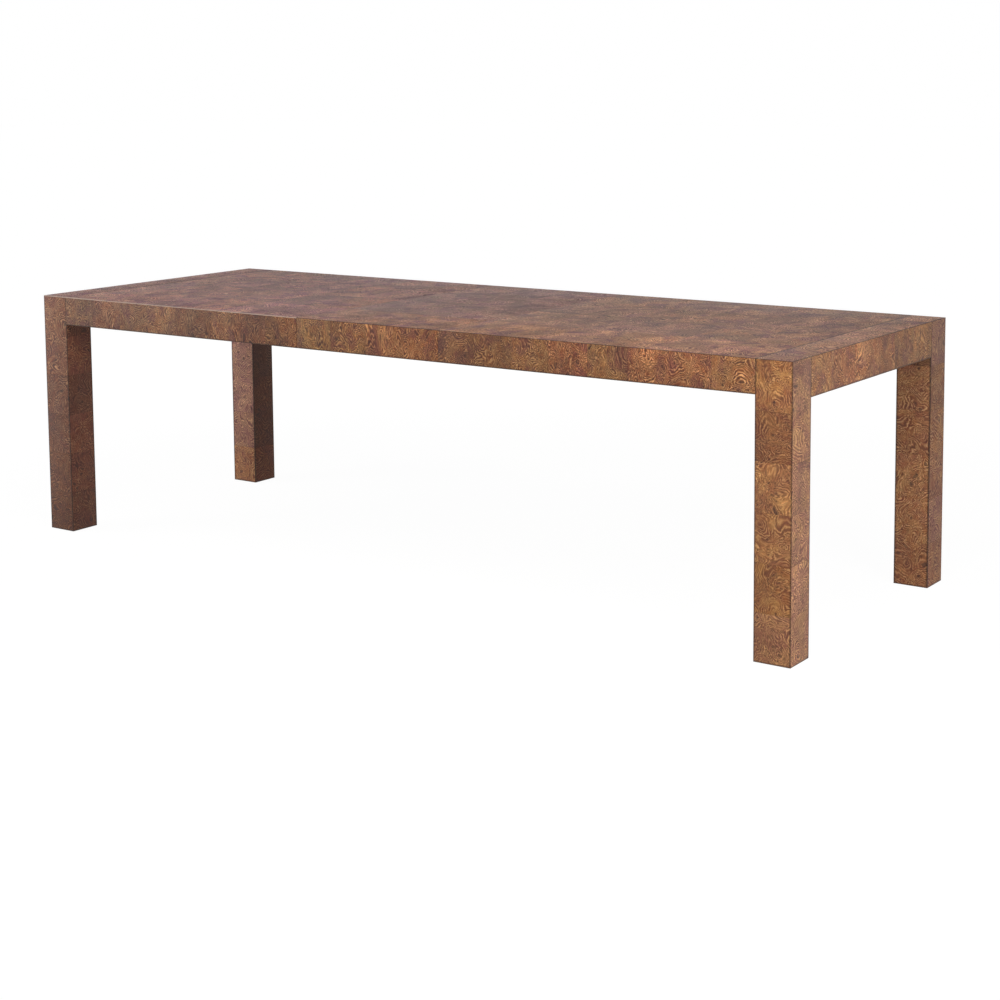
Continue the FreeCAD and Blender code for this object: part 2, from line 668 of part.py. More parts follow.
def lock_lever(pivot_x, side):
    """A hooked lever, open: it points at the apron, and swings a quarter turn over the seam."""
    opening = -side
    arm = box(0, LEVER_LENGTH, -LEVER_WIDTH / 2, LEVER_WIDTH / 2, LEVER_LOW, LEVER_TOP)
    hub = rod(Vector(0, 0, LEVER_LOW), UP, LEVER_HUB, LEVER_THICK)
    tab = box(LEVER_LENGTH - LEVER_THICK, LEVER_LENGTH, -LEVER_WIDTH / 2, LEVER_WIDTH / 2,
              LEVER_LOW - LEVER_TAB, LEVER_TOP)
    lever = arm.fuse(hub).fuse(tab).removeSplitter()

    half_slot = STUD_RADIUS + STUD_PLAY
    below = Vector(0, 0, LEVER_LOW - CUT)
    height = LEVER_THICK + 2 * CUT
    sweep = math.degrees(math.asin(LEVER_WIDTH / LOCK_REACH))
    sector = Part.makeCylinder(LOCK_REACH + half_slot, height, below, UP, sweep)
    slot = sector.cut(rod(below, UP, LOCK_REACH - half_slot, height))
    if opening < 0:
        slot.rotate(ORIGIN, UP, -sweep)
    seat = rod(Vector(LOCK_REACH, 0, LEVER_LOW - CUT), UP, half_slot, height)
    bore = rod(below, UP, RIVET_RADIUS + RUNNING_GAP, height)
    lever = cut_all(lever, [slot, seat, bore])
    lever.rotate(ORIGIN, UP, 90 * side)
    lever.translate(Vector(pivot_x, side * LOCK_OFFSET, 0))
    return lever


# Top panels

def lock_screws(pivot_x):
    return [place for side in SIDES for place in lock_screw_places(pivot_x, side)]


def keeper_screws(stud_x):
    return [place for side in SIDES for place in keeper_screw_places(stud_x, side)]


def half_panel():
    """The left half's board, drilled for its rail screws only."""
    inset = SIDE_Y - VENEER
    panel = box(-END_X + VENEER, -HALF_EDGE, -inset, inset, CORE_BOTTOM, CORE_TOP)
    screws = [rail_screw(x, y, GLUE_GAP) for x, y in half_rail_screws()]
    return cut_all(panel, screws)


def leaf_panel(screws):
    inset = SIDE_Y - VENEER
    panel = box(-LEAF_EDGE, LEAF_EDGE, -inset, inset, CORE_BOTTOM, CORE_TOP)
    drills = [plate_screw(x, y, GLUE_GAP) for x, y in screws]
    drills += seam_pins(-LEAF_EDGE, 1, GLUE_GAP) + bushing_drills(LEAF_EDGE, -1)
    return cut_all(panel, drills)


# The three parts of the table

def write_frames():
    """What the two halves share: each left piece, and its copy turned round for the right."""
    band = -END_X + LEG_SIDE
    aprons = {side: long_apron_half(side) for side in SIDES}
    veneer = [sheet for side in SIDES
              for sheet in long_apron_veneer(band, -HALF_EDGE, side, LONG_APRON_SHEET_COUNT)]
    racks = [left_rack(centre) for centre in SLIDES]
    stops = [stop_pin(centre, 0) for centre in SLIDES]
    left = {
        "left_top_veneer": ("right_top_veneer", top_veneer_half()),
        "left_front_apron": ("right_back_apron", [aprons[FRONT]]),
        "left_back_apron": ("right_front_apron", [aprons[BACK]]),
        "left_end_apron": ("right_end_apron", [end_apron()]),
        "left_apron_veneer": ("right_apron_veneer", veneer + end_apron_veneer()),
        "front_left_leg_core": ("back_right_leg_core", leg_core(FRONT)),
        "back_left_leg_core": ("front_right_leg_core", leg_core(BACK)),
        "front_left_leg_veneer": ("back_right_leg_veneer", leg_veneer(FRONT)),
        "back_left_leg_veneer": ("front_right_leg_veneer", leg_veneer(BACK)),
        "left_dowels": ("right_dowels", dowel_rods(FRONT, 0) + dowel_rods(BACK, 0)),
        "left_corner_blocks": ("right_corner_blocks", [corner_block(side) for side in SIDES]),
        "left_corner_bolts": ("right_corner_bolts", corner_bolts(FRONT) + corner_bolts(BACK)),
        "left_glides": ("right_glides", [glide_pad(side) for side in SIDES]),
        "left_glide_nails": ("right_glide_nails", [glide_nail(side, 0) for side in SIDES]),
        "left_glue_blocks": ("right_glue_blocks", half_glue_blocks()),
        "left_slide_rails": ("right_slide_rails", [left_rail(centre) for centre in SLIDES]),
        "left_racks_and_stops": ("right_racks_and_stops", racks + stops),
    }
    for name, (turned_name, solids) in left.items():
        save(name, solids)
        save(turned_name, half_turn(solids))


def write_left_seam():
    """The left half's board, its bushings, and a lock base front and back."""
    pivot_x = -LEAF_LENGTH / 2 - LOCK_SETBACK
    drills = [plate_screw(x, y, GLUE_GAP) for x, y in lock_screws(pivot_x)]
    save("left_top_core", [cut_all(half_panel(), drills + bushing_drills(-HALF_EDGE, -1))])
    save("left_pin_bushings", seam_bushings(-HALF_EDGE, -1))
    save("left_lock_bases", [solid for side in SIDES for solid in lock_base(pivot_x, side)])
    for side, name in ((FRONT, "front"), (BACK, "back")):
        save(f"left_{name}_lock_lever", [lock_lever(pivot_x, side)])
    screws = [rail_screw(x, y, 0) for x, y in half_rail_screws()]
    save("left_screws", screws + [plate_screw(x, y, 0) for x, y in lock_screws(pivot_x)])


def write_right_seam():
    """The right half's board, its pins, and a keeper front and back."""
    stud_x = LEAF_LENGTH / 2 + KEEPER_SETBACK
    panel = half_turn([half_panel()])[0]
    drills = [plate_screw(x, y, GLUE_GAP) for x, y in keeper_screws(stud_x)]
    save("right_top_core", [cut_all(panel, drills + seam_pins(HALF_EDGE, 1, GLUE_GAP))])
    save("right_alignment_pins", seam_pins(HALF_EDGE, 1))
    save("right_keepers", [solid for side in SIDES for solid in keeper(stud_x, side)])
    screws = half_turn([rail_screw(x, y, 0) for x, y in half_rail_screws()])
    save("right_screws", screws + [plate_screw(x, y, 0) for x, y in keeper_screws(stud_x)])


def write_leaf():
    """The leaf: pins and keepers at its left seam, bushings and locks at its right seam."""
    stud_x = -LEAF_LENGTH / 2 + KEEPER_SETBACK
    pivot_x = LEAF_LENGTH / 2 - LOCK_SETBACK
    places = lock_screws(pivot_x) + keeper_screws(stud_x)
    save("leaf_top_core", [leaf_panel(places)])
    save("leaf_top_veneer", field_sheets(-LEAF_EDGE, LEAF_EDGE, LEAF_COLUMNS))
    save("leaf_aprons", [leaf_apron(side) for side in SIDES])
    save("leaf_apron_veneer", [sheet for side in SIDES for sheet in
                               long_apron_veneer(-LEAF_EDGE, LEAF_EDGE, side, LEAF_APRON_SHEET_COUNT)])
    save("leaf_glue_blocks", leaf_glue_blocks())
    save("leaf_alignment_pins", seam_pins(-LEAF_EDGE, 1))
    save("leaf_pin_bushings", seam_bushings(LEAF_EDGE, -1))
    fittings = [solid for side in SIDES
                for solid in lock_base(pivot_x, side) + keeper(stud_x, side)]
    save("leaf_lock_fittings", fittings)
    save("leaf_screws", [plate_screw(x, y, 0) for x, y in places])
    for side, name in ((FRONT, "front"), (BACK, "back")):
        save(f"leaf_{name}_lock_lever", [lock_lever(pivot_x, side)])


def write_slides():
    """The middle rails, their dovetail tongues, and the pinions that gear the two halves."""
    save("centre_rails", [centre_rail(centre) for centre in SLIDES])
    tongues = [tongue(centre) for centre in SLIDES for tongue in (left_tongue, right_tongue)]
    save("centre_rail_tongues", tongues)
    save("pinion_axles", [pinion_axle(centre, 0) for centre in SLIDES])
    save("front_pinion", [pinion(-SLIDE_OFFSET)])
    save("back_pinion", [pinion(SLIDE_OFFSET)])


os.makedirs("parts", exist_ok=True)
write_frames()
write_left_seam()
write_right_seam()
write_leaf()
write_slides()
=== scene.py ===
"""Dresses the parsons extension table: burl veneer sheets, boards, slides, hardware and a pale studio."""
import bisect
import json
import math
import random
from collections import namedtuple

import bpy
from mathutils import Matrix, Vector


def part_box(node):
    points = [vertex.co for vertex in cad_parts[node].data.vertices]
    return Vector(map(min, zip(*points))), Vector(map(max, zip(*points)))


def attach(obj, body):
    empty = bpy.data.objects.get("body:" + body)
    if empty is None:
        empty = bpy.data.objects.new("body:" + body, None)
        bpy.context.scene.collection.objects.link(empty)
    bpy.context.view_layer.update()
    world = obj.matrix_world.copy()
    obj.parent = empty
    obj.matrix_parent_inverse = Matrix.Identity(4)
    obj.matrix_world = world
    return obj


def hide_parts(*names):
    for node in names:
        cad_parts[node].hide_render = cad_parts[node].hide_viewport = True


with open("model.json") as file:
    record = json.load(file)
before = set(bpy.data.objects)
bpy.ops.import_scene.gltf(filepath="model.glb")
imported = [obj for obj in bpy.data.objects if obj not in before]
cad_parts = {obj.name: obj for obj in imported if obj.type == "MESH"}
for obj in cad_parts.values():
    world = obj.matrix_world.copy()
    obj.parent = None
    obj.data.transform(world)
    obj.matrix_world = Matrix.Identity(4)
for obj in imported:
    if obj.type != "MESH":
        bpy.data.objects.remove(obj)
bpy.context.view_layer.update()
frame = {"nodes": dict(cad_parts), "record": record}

bl_info = {
    "name": "Parsons Table Dresser",
    "version": (1, 0, 0),
    "blender": (4, 5, 0),
    "location": "View3D > Sidebar > Table",
    "description": "Lays burl veneer sheets over the table's boards and finishes its slides and hardware",
    "category": "Object",
}

MM = 0.001
X, Y, Z = 0, 1, 2
LOW, HIGH = -1, 1
AXES = (Vector((1, 0, 0)), Vector((0, 1, 0)), Vector((0, 0, 1)))
HALVES = {"left": LOW, "right": HIGH}
SIDES = {"front": LOW, "back": HIGH}


# Settings a maker would change

def sheet_count(name, where, default):
    """A setting for the number of sheets somewhere."""
    return bpy.props.IntProperty(name=name, description=f"Sheets {where}", default=default, min=1)


def length(name, description, default, least=0.0):
    """A setting for a length."""
    return bpy.props.FloatProperty(name=name, description=description, default=default, min=least,
                                   unit="LENGTH")


def wood_colour(name, description, default, **limits):
    """A setting for a colour of the finish."""
    return bpy.props.FloatVectorProperty(name=name, description=description, default=default,
                                         subtype="COLOR", size=3, **limits)


def camera_angle(name, description, degrees):
    """A setting for an angle of the camera."""
    return bpy.props.FloatProperty(name=name, description=description, default=math.radians(degrees),
                                   subtype="ANGLE")


def lamp_power(name, lamp, watts):
    """A setting for a lamp."""
    return bpy.props.FloatProperty(name=f"{name} power", description=f"Power of {lamp}", default=watts,
                                   subtype="POWER")


class VeneerSettings(bpy.types.PropertyGroup):
    """How the burl sheets are laid and finished."""

    thickness: length("Veneer thickness", "Thickness of a veneer sheet", 1.0 * MM)
    ease: length("Eased edge", "How far the outer edges are rubbed back", 0.45 * MM)
    band_sheets: sheet_count("Band sheets", "in the cross band at each end of the top", 8)
    field_columns: sheet_count("Field columns", "along the field of each half", 6)
    field_rows: sheet_count("Field rows", "across the top", 4)
    leaf_columns: sheet_count("Leaf columns", "along the leaf's top", 3)
    long_apron_sheets: sheet_count("Long apron sheets", "along a half's front or back apron", 8)
    leaf_apron_sheets: sheet_count("Leaf apron sheets", "along each of the leaf's aprons", 4)
    end_apron_sheets: sheet_count("End apron sheets", "along an end apron", 6)
    leg_sheets: sheet_count("Leg sheets", "stacked up each face of a leg", 6)
    ring_spacing: length("Ring spacing", "Usual distance between the burl's dark growth lines",
                         6.6 * MM, least=0.1 * MM)
    gold: wood_colour("Gold", "The fine pale lines between the growth lines", (0.72, 0.40, 0.145))
    sand: wood_colour("Sand", "What those pale lines turn to on the rosier sheets", (0.62, 0.46, 0.34))
    honey: wood_colour("Honey", "The lighter patches of the ground", (0.42, 0.185, 0.050))
    amber: wood_colour("Amber", "The stained ground of the figure", (0.27, 0.090, 0.022))
    russet: wood_colour("Russet", "The redder patches and sheets", (0.215, 0.064, 0.022))
    plum: wood_colour("Plum", "The greyer, purplish sheets", (0.25, 0.113, 0.073))
    straw: wood_colour("Straw", "Sunlit patches in the ground", (0.52, 0.28, 0.085))
    mulberry: wood_colour("Mulberry", "Darker, redder clouds in the ground", (0.150, 0.043, 0.034))
    bark: wood_colour("Bark", "The dark growth lines and the fine lines between them",
                      (0.070, 0.025, 0.014))
    # Painted highlight: the pale colour laid along a few eased edges at the left front, for the light they
    # catch
    painted_edge_highlight: wood_colour("Biscuit", "Bare wood where an edge is rubbed through", (0.78, 0.60, 0.50))
    toner: wood_colour("Toner", "What the rose toner under the lacquer does to the stain's colour",
                       (1.0, 0.98, 2.7), soft_max=4.0)
    glaze: wood_colour("Glaze", "What the red glaze on the warmest sheets does to their colour",
                       (1.0, 0.84, 0.90), soft_max=4.0)
    umber: wood_colour("Umber", "Knots and pips", (0.032, 0.012, 0.009))


class StageSettings(bpy.types.PropertyGroup):
    """The studio round the table."""

    camera_place: bpy.props.FloatVectorProperty(
        name="Camera place", description="Where the camera stands",
        subtype="XYZ", unit="LENGTH", size=3, default=(3.30771, -4.54466, 1.45614))
    camera_azimuth: camera_angle("Azimuth", "How far round from the front the camera looks", 35.0)
    camera_elevation: camera_angle("Elevation", "How far above level the camera looks from", 6.27)
    camera_roll: camera_angle("Roll", "How far the camera leans", -0.47)
    lens: bpy.props.FloatProperty(
        name="Lens", description="Focal length on a 36 mm sensor", unit="CAMERA", default=67.69)
    rise: bpy.props.FloatProperty(
        name="Lens rise", description="Vertical shift, as a share of the picture", default=-0.22)
    front_power: lamp_power("Front", "the wide lamp at the front left", 96.0)
    high_power: lamp_power("High", "the lamp over the left half", 13.5)
    over_power: lamp_power("Over", "the lamp over the right half", 34.0)
    end_power: lamp_power("End", "the small lamp beyond the right end", 21.0)
    corner_power: lamp_power("Corner", "the small lamp before the right front leg", 10.5)
    rear_end_power: lamp_power("Rear end", "the small lamp behind the right end", 5.0)
    back_power: lamp_power("Back", "the lamp behind the table", 50.0)
    fill: bpy.props.FloatProperty(
        name="Fill", description="Strength of the soft light from all round", default=0.02)


# Shader building

class Signal:
    """A number, colour or vector on its way through a finish. Arithmetic on numbers adds Math nodes."""

    def __init__(self, finish, socket):
        self.finish = finish
        self.socket = socket

    def math(self, operation, *others):
        """What a Math node makes of this number and the others."""
        return self.finish.math(operation, self, *others)

    def __add__(self, other):
        return self.math("ADD", other)

    def __sub__(self, other):
        return self.math("SUBTRACT", other)

    def __mul__(self, other):
        return self.math("MULTIPLY", other)

    def __rsub__(self, other):
        return self.finish.math("SUBTRACT", other, self)

    __radd__ = __add__
    __rmul__ = __mul__


class Finish:
    """The nodes of a material or of the world, under construction."""

    dimensions = "3D"

    def __init__(self, owner):
        owner.use_nodes = True
        self.owner = owner
        self.tree = owner.node_tree
        self.tree.nodes.clear()

    def node(self, kind, settings=None, inputs=None, output=0):
        """Adds a node, makes its settings, then feeds its sockets with values or signals."""
        made = self.tree.nodes.new(kind)
        for name, value in (settings or {}).items():
            setattr(made, name, value)
        for name, value in (inputs or {}).items():
            if isinstance(value, Signal):
                self.tree.links.new(value.socket, made.inputs[name])
            else:
                made.inputs[name].default_value = value
        return Signal(self, made.outputs[output]) if made.outputs else None

    def outputs(self, kind, names, inputs=None):
        """Several outputs of one new node."""
        made = self.node(kind, {}, inputs).socket.node
        return [Signal(self, made.outputs[name]) for name in names]

    def math(self, operation, *values):
        """What a Math node makes of these numbers."""
        return self.node("ShaderNodeMath", {"operation": operation}, dict(enumerate(values)))

    def attribute(self, name, output="Fac"):
        """What a piece's mesh holds under this name."""
        return self.node("ShaderNodeAttribute", {"attribute_name": name}, output=output)

    def place(self):
        """Where a point lies on the table."""
        return self.node("ShaderNodeTexCoord", output="Object")

    def along_grain(self, squeeze):
        """That place squeezed along X, so that noise runs in the grain's direction."""
        return self.node("ShaderNodeMapping", {}, {"Vector": self.place(), "Scale": (squeeze, 1.0, 1.0)})

    def noise(self, place, size, detail=2.0, roughness=0.5, output="Fac"):
        """Cloudy noise with features of about this size, in metres."""
        inputs = {"Vector": place, "Scale": 1 / size, "Detail": detail, "Roughness": roughness}
        return self.node("ShaderNodeTexNoise", {"noise_dimensions": self.dimensions}, inputs, output)

    def cells(self, place, size):
        """How far it is to the nearest of points scattered about this far apart, as a share of that."""
        settings = {"voronoi_dimensions": self.dimensions, "feature": "F1"}
        inputs = {"Vector": place, "Scale": 1 / size, "Randomness": 1.0}
        return self.node("ShaderNodeTexVoronoi", settings, inputs, "Distance")

    def step(self, value, start, end, low=0.0, high=1.0):
        """Low before start and high past end, with a smooth change between them."""
        settings = {"interpolation_type": "SMOOTHSTEP"}
        inputs = {"Value": value, "From Min": start, "From Max": end, "To Min": low, "To Max": high}
        return self.node("ShaderNodeMapRange", settings, inputs)

    def fade(self, value, start, end):
        """1 before start and 0 past end."""
        return self.step(value, start, end, 1.0, 0.0)

    def ridge(self, value, foot, top, fall, end):
        """0 up to foot, 1 from top to fall, and 0 again past end."""
        return self.step(value, foot, top) * self.fade(value, fall, end)

    def patches(self, place, name, low=0.0, high=1.0):
        """Noise sharpened into a pattern of patches: low between them, and high inside."""
        pattern = PATTERNS[name]
        noise = self.noise(place, pattern.size, pattern.detail, pattern.roughness)
        return self.step(noise, pattern.start, pattern.full, low, high)

    def moved(self, place, push, reach):
        """A place pushed about by a colour of noise, by up to half of reach each way."""
        centred = self.node("ShaderNodeVectorMath", {"operation": "SUBTRACT"},
                            {0: push, 1: (0.5, 0.5, 0.5)})
        return self.node("ShaderNodeVectorMath", {"operation": "ADD"},
                         {0: place, 1: self.scaled(centred, reach)})

    def scaled(self, vector, factor):
        """A colour or vector multiplied by a number."""
        return self.node("ShaderNodeVectorMath", {"operation": "SCALE"}, {0: vector, 3: factor})

    def blend(self, share, first, second, how="MIX"):
        """The first colour, with this share of the second laid over it."""
        settings = {"data_type": "RGBA", "blend_type": how, "clamp_factor": True}
        return self.node("ShaderNodeMix", settings, {0: share, 6: colour(first), 7: colour(second)}, 2)

    def surface(self, base, roughness, bump, depth, **fixed):
        """Ends the finish in one shader. Bump is a height from 0 to 1, and depth its reach in metres."""
        relief = {"Strength": 1.0, "Distance": depth, "Height": bump}
        inputs = {"Base Color": base, "Roughness": roughness, **fixed}
        inputs["Normal"] = self.node("ShaderNodeBump", {}, relief)
        return self.end("ShaderNodeOutputMaterial", self.node("ShaderNodeBsdfPrincipled", {}, inputs))

    def end(self, kind, shader):
        """Leads a shader to the output, and gives back the material or world."""
        self.node(kind, {}, {"Surface": shader})
        return self.owner


def colour(value):
    """A colour as a socket takes it."""
    return value if isinstance(value, Signal) else (*value, 1.0)


# How noise becomes patches: the size of its features, the levels at which a patch starts and is full,
# and the noise's detail and roughness
Pattern = namedtuple("Pattern", "size start full detail roughness")
PATTERNS = {
    "pip_clusters": Pattern(90 * MM, 0.47, 0.66, 1.0, 0.5),
    "knots": Pattern(110 * MM, 0.4, 0.7, 0.0, 0.5),
    "bold_lines": Pattern(26 * MM, 0.35, 0.6, 2.0, 0.5),
    "honey": Pattern(28 * MM, 0.38, 0.64, 3.0, 0.6),
    "russet": Pattern(52 * MM, 0.44, 0.62, 3.0, 0.5),
    "cloud": Pattern(85 * MM, 0.47, 0.62, 4.0, 0.6),
    "sun": Pattern(64 * MM, 0.50, 0.66, 3.0, 0.6),
    "wash": Pattern(150 * MM, 0.32, 0.68, 3.0, 0.6),
    "fleck": Pattern(5.5 * MM, 0.3, 0.7, 3.0, 0.65),
    "mottle": Pattern(2.4 * MM, 0.25, 0.75, 2.0, 0.7),
    "maple_streaks": Pattern(22 * MM, 0.45, 0.7, 2.0, 0.5),
    "maple_pores": Pattern(0.8 * MM, 0.66, 0.8, 2.0, 0.5),
    "sprayed_stain": Pattern(180 * MM, 0.4, 0.68, 3.0, 0.5),
}


# The burl. Its patterns lie in the plane of the sheets

EYE_SPREAD = 64 * MM        # usual distance between the eyes of the burl
PIP_SPREAD = 12 * MM        # and between the small pips that cluster in places
DRIFT, DRIFT_REACH = 120 * MM, 80 * MM  # the slow swirl of the figure: its size, and how far it carries
SHIVER, SHIVER_REACH = 15 * MM, 14 * MM  # the quick crinkle over it
SWELL = 46 * MM             # size of the ground's swells
SWELL_RINGS = 5.0           # growth lines that a swell adds
PIP_RINGS = 1.6             # and those that a pip adds
FINE_LINES = 3.0            # fine lines to one growth line
KNOT_REACH = 0.075          # the largest knots, as a share of the eyes' spread
KNOT_RIM = 0.03             # and the width of their soft rim
LACQUER_IOR = 1.42
LACQUER_ROUGHNESS = 0.58    # where it is smoothest
LACQUER_DULLING = 0.1       # what its clouds add to that, and again a seam
LACQUER_CLOUDS = 40 * MM    # size of its duller clouds
LACQUER_RIPPLES = 3.5 * MM  # and of its ripples
LACQUER_RELIEF = 0.06 * MM  # height of the ripples and the seams together

# Where each of these rises from nothing, is full, begins to fall and ends, as shares of a growth line
GROOVE = (0.0, 0.2, 0.2, 0.55)
CREST = (0.5, 0.72, 0.76, 1.0)

# Where each of these begins to fade, and where it ends
FINE_GROOVE_FADE = (0.1, 0.6)       # as shares of a fine line
PIP_FADE = (0.05, 0.45)             # as shares of the pips' spread
PIP_HEART_FADE = (0.12, 0.26)
SEAM_FADE = (0.1 * MM, 0.8 * MM)    # the stain caught in a seam
EDGE_FADE = (1.5 * MM, 5.5 * MM)    # the darkening along an arris
HIGHLIT_EDGES_FADE = (0.3 * MM, 1.4 * MM)  # the painted highlight along an arris
GLAZE_RISE = (-0.2, 1.6)            # and the warmth at which the red glaze starts and is full

# How far each part of the figure covers the ground, and how much is left of the lines where they're faint
COVER = {
    "russet": 0.65, "redder": 0.55, "greyer": 0.65, "cloud": 0.75, "sun": 0.45,
    "crest": 0.8, "crest_lost_in_cloud": 0.35, "groove": 0.78, "fine_groove": 0.18, "faint_lines": 0.4,
    "knot": 0.7, "pip": 0.55,
}

# How far each of these lightens or darkens the wood
SHADE = {"mottle": 0.18, "fleck": 0.26, "wash": 0.22, "brightness": 0.28, "seam": 0.42, "edge": 0.64}


class Burl(Finish):
    """Stained burl under satin lacquer. Each sheet carries its own place, tone and borders."""

    dimensions = "2D"

    def __init__(self):
        super().__init__(bpy.data.materials.new("stained_burl"))
        self.look = bpy.context.scene.table_veneer
        self.tone = {name: self.attribute(name) for name in PLAIN}
        self.sheet = self.node("ShaderNodeUVMap", {"uv_map": "sheet"})
        drift = self.noise(self.sheet, DRIFT, detail=1.0, output="Color")
        self.swirled = self.moved(self.sheet, drift, DRIFT_REACH)
        shiver = self.noise(self.swirled, SHIVER, detail=4.0, roughness=0.58, output="Color")
        self.figure = self.moved(self.swirled, shiver, SHIVER_REACH)
        self.eyes = self.cells(self.figure, EYE_SPREAD)
        self.pips = self.cells(self.figure, PIP_SPREAD)
        self.clusters = self.patches(self.sheet, "pip_clusters")
        self.cloud = self.patches(self.swirled, "cloud")
        self.seam = self.fade(self.nearest("seam"), *SEAM_FADE)

    def nearest(self, border):
        """How far the surface is from its nearest border of this kind, in metres."""
        distances = []
        for end in ("near", "far"):
            both = self.attribute(f"{border}_{end}", "Vector")
            distances += self.outputs("ShaderNodeSeparateXYZ", "XY", {0: both})
        closest = distances[0]
        for distance in distances[1:]:
            closest = closest.math("MINIMUM", distance)
        return closest

    def ground(self):
        """The stain: amber with honey and russet patches, clouds and sunlit places, toned to the sheet."""
        look = self.look
        warmth, cloudiness = self.tone["warmth"], self.tone["cloudiness"]
        russet = self.patches(self.swirled, "russet")
        sun = self.patches(self.swirled, "sun")
        ground = self.blend(self.patches(self.figure, "honey"), look.amber, look.honey)
        ground = self.blend(russet * COVER["russet"], ground, look.russet)
        ground = self.blend(self.step(warmth, 0.0, 1.0) * COVER["redder"], ground, look.russet)
        ground = self.blend(self.fade(warmth, -1.0, 0.0) * COVER["greyer"], ground, look.plum)
        ground = self.blend(self.cloud * cloudiness * COVER["cloud"], ground, look.mulberry)
        ground = self.blend(sun * cloudiness * COVER["sun"], ground, look.straw)
        return self.blend(self.tone["rosiness"], ground, look.toner, "MULTIPLY")

    def lined(self, ground):
        """Growth lines round the eyes: pale crests, a red glaze over them, then the dark grooves."""
        look, tone = self.look, self.tone
        swell = self.noise(self.figure, SWELL, detail=1.0)
        pip = self.fade(self.pips, *PIP_FADE) * self.clusters
        height = self.eyes * (EYE_SPREAD / look.ring_spacing) + swell * SWELL_RINGS + pip * PIP_RINGS
        growth = height.math("FRACT")
        groove = self.ridge(growth, *GROOVE)
        crest = self.ridge(growth, *CREST)
        fine_groove = self.fade((height * FINE_LINES).math("FRACT"), *FINE_GROOVE_FADE)
        presence = self.patches(self.figure, "bold_lines", low=COVER["faint_lines"]) * tone["boldness"]

        pale = self.blend(tone["rosiness"], look.gold, look.sand)
        crest_cover = COVER["crest"] - self.cloud * COVER["crest_lost_in_cloud"]
        ground = self.blend(crest * presence * crest_cover, ground, pale)
        ground = self.blend(self.step(tone["warmth"], *GLAZE_RISE), ground, look.glaze, "MULTIPLY")
        dark = groove * presence * COVER["groove"] + fine_groove * COVER["fine_groove"]
        return self.blend(dark, ground, look.bark)

    def knotted(self, ground):
        """Knots in some of the eyes, and the hearts of the clustered pips."""
        size = self.patches(self.sheet, "knots", high=KNOT_REACH)
        knot = self.fade(self.eyes - size, 0.0, KNOT_RIM)
        heart = self.fade(self.pips, *PIP_HEART_FADE) * self.clusters
        return self.blend(knot * COVER["knot"] + heart * COVER["pip"], ground, self.look.umber)

    def sway(self, place, name):
        """A pattern that strays from 0 by up to its reach each way."""
        return self.patches(place, name, -SHADE[name], SHADE[name])

    def shaded(self, ground):
        """Mottle, flecks, slow washes, the sheet's own brightness (on a few sheets painted shade, on one
        painted light), stain caught in the seams, and darkening along the edges.
        """
        tone = self.tone
        mottle = self.sway(self.sheet, "mottle")
        fleck = self.sway(self.figure, "fleck")
        wash = self.sway(self.swirled, "wash")
        edge = self.fade(self.nearest("edge"), *EDGE_FADE)
        shade = (mottle + 1.0) * (fleck * tone["boldness"] + 1.0) * (wash * tone["cloudiness"] + 1.0)
        shade = shade * (tone["brightness"] * SHADE["brightness"] + 1.0)
        return self.scaled(ground, shade * (1 - self.seam * SHADE["seam"]) * (1 - edge * SHADE["edge"]))

    def highlit_edge(self, wood):
        """A painted highlight: pale colour along an arris, for the light that it catches."""
        return self.blend(self.fade(self.attribute("to_rubbed"), *HIGHLIT_EDGES_FADE), wood, self.look.painted_edge_highlight)

    def lacquered(self, wood):
        """The satin lacquer, a little rougher in the seams and sunk into them."""
        clouds = self.noise(self.sheet, LACQUER_CLOUDS) * LACQUER_DULLING
        roughness = clouds + LACQUER_ROUGHNESS + self.seam * LACQUER_DULLING
        relief = self.noise(self.sheet, LACQUER_RIPPLES) * 0.5 + (1 - self.seam) * 0.5
        return self.surface(wood, roughness, relief, LACQUER_RELIEF, IOR=LACQUER_IOR)


def burl_finish():
    """Stained, figured and lacquered burl, with a painted highlight along a few arrises."""
    burl = Burl()
    figured = burl.knotted(burl.lined(burl.ground()))
    return burl.lacquered(burl.highlit_edge(burl.shaded(figured)))


# The other finishes

def hardwood_finish():
    """Planed maple with a thin coat of wax: fine lines and flecks along the rails."""
    pale, line = (0.58, 0.37, 0.19), (0.42, 0.235, 0.105)
    streak, pore = (0.35, 0.18, 0.08), (0.18, 0.09, 0.045)
    finish = Finish(bpy.data.materials.new("planed_maple"))
    straight = finish.along_grain(0.06)
    warped = finish.moved(straight, finish.noise(straight, 40 * MM, output="Color"), 12 * MM)
    lines = finish.noise(warped, 3.0 * MM, detail=3.0, roughness=0.6)
    streaks = finish.patches(warped, "maple_streaks", high=0.5)
    pores = finish.patches(finish.along_grain(0.1), "maple_pores", high=0.5)
    wood = finish.blend(finish.step(lines, 0.35, 0.7), pale, line)
    wood = finish.blend(streaks, wood, streak)
    wood = finish.blend(pores, wood, pore)
    return finish.surface(wood, roughness=lines * 0.15 + 0.45, bump=lines, depth=0.08 * MM)


def board_finish():
    """Fibreboard sealed with a brown stain: pressed fibres and soft sprayed clouds."""
    brown, fibre, sprayed = (0.135, 0.072, 0.04), (0.21, 0.122, 0.07), (0.085, 0.044, 0.026)
    finish = Finish(bpy.data.materials.new("sealed_fibreboard"))
    place = finish.place()
    fibres = finish.noise(place, 1.4 * MM, detail=3.0, roughness=0.7)
    spray = finish.patches(place, "sprayed_stain", high=0.45)
    wood = finish.blend(finish.step(fibres, 0.3, 0.72), brown, fibre)
    wood = finish.blend(spray, wood, sprayed)
    return finish.surface(wood, roughness=fibres * 0.14 + 0.62, bump=fibres, depth=0.1 * MM)


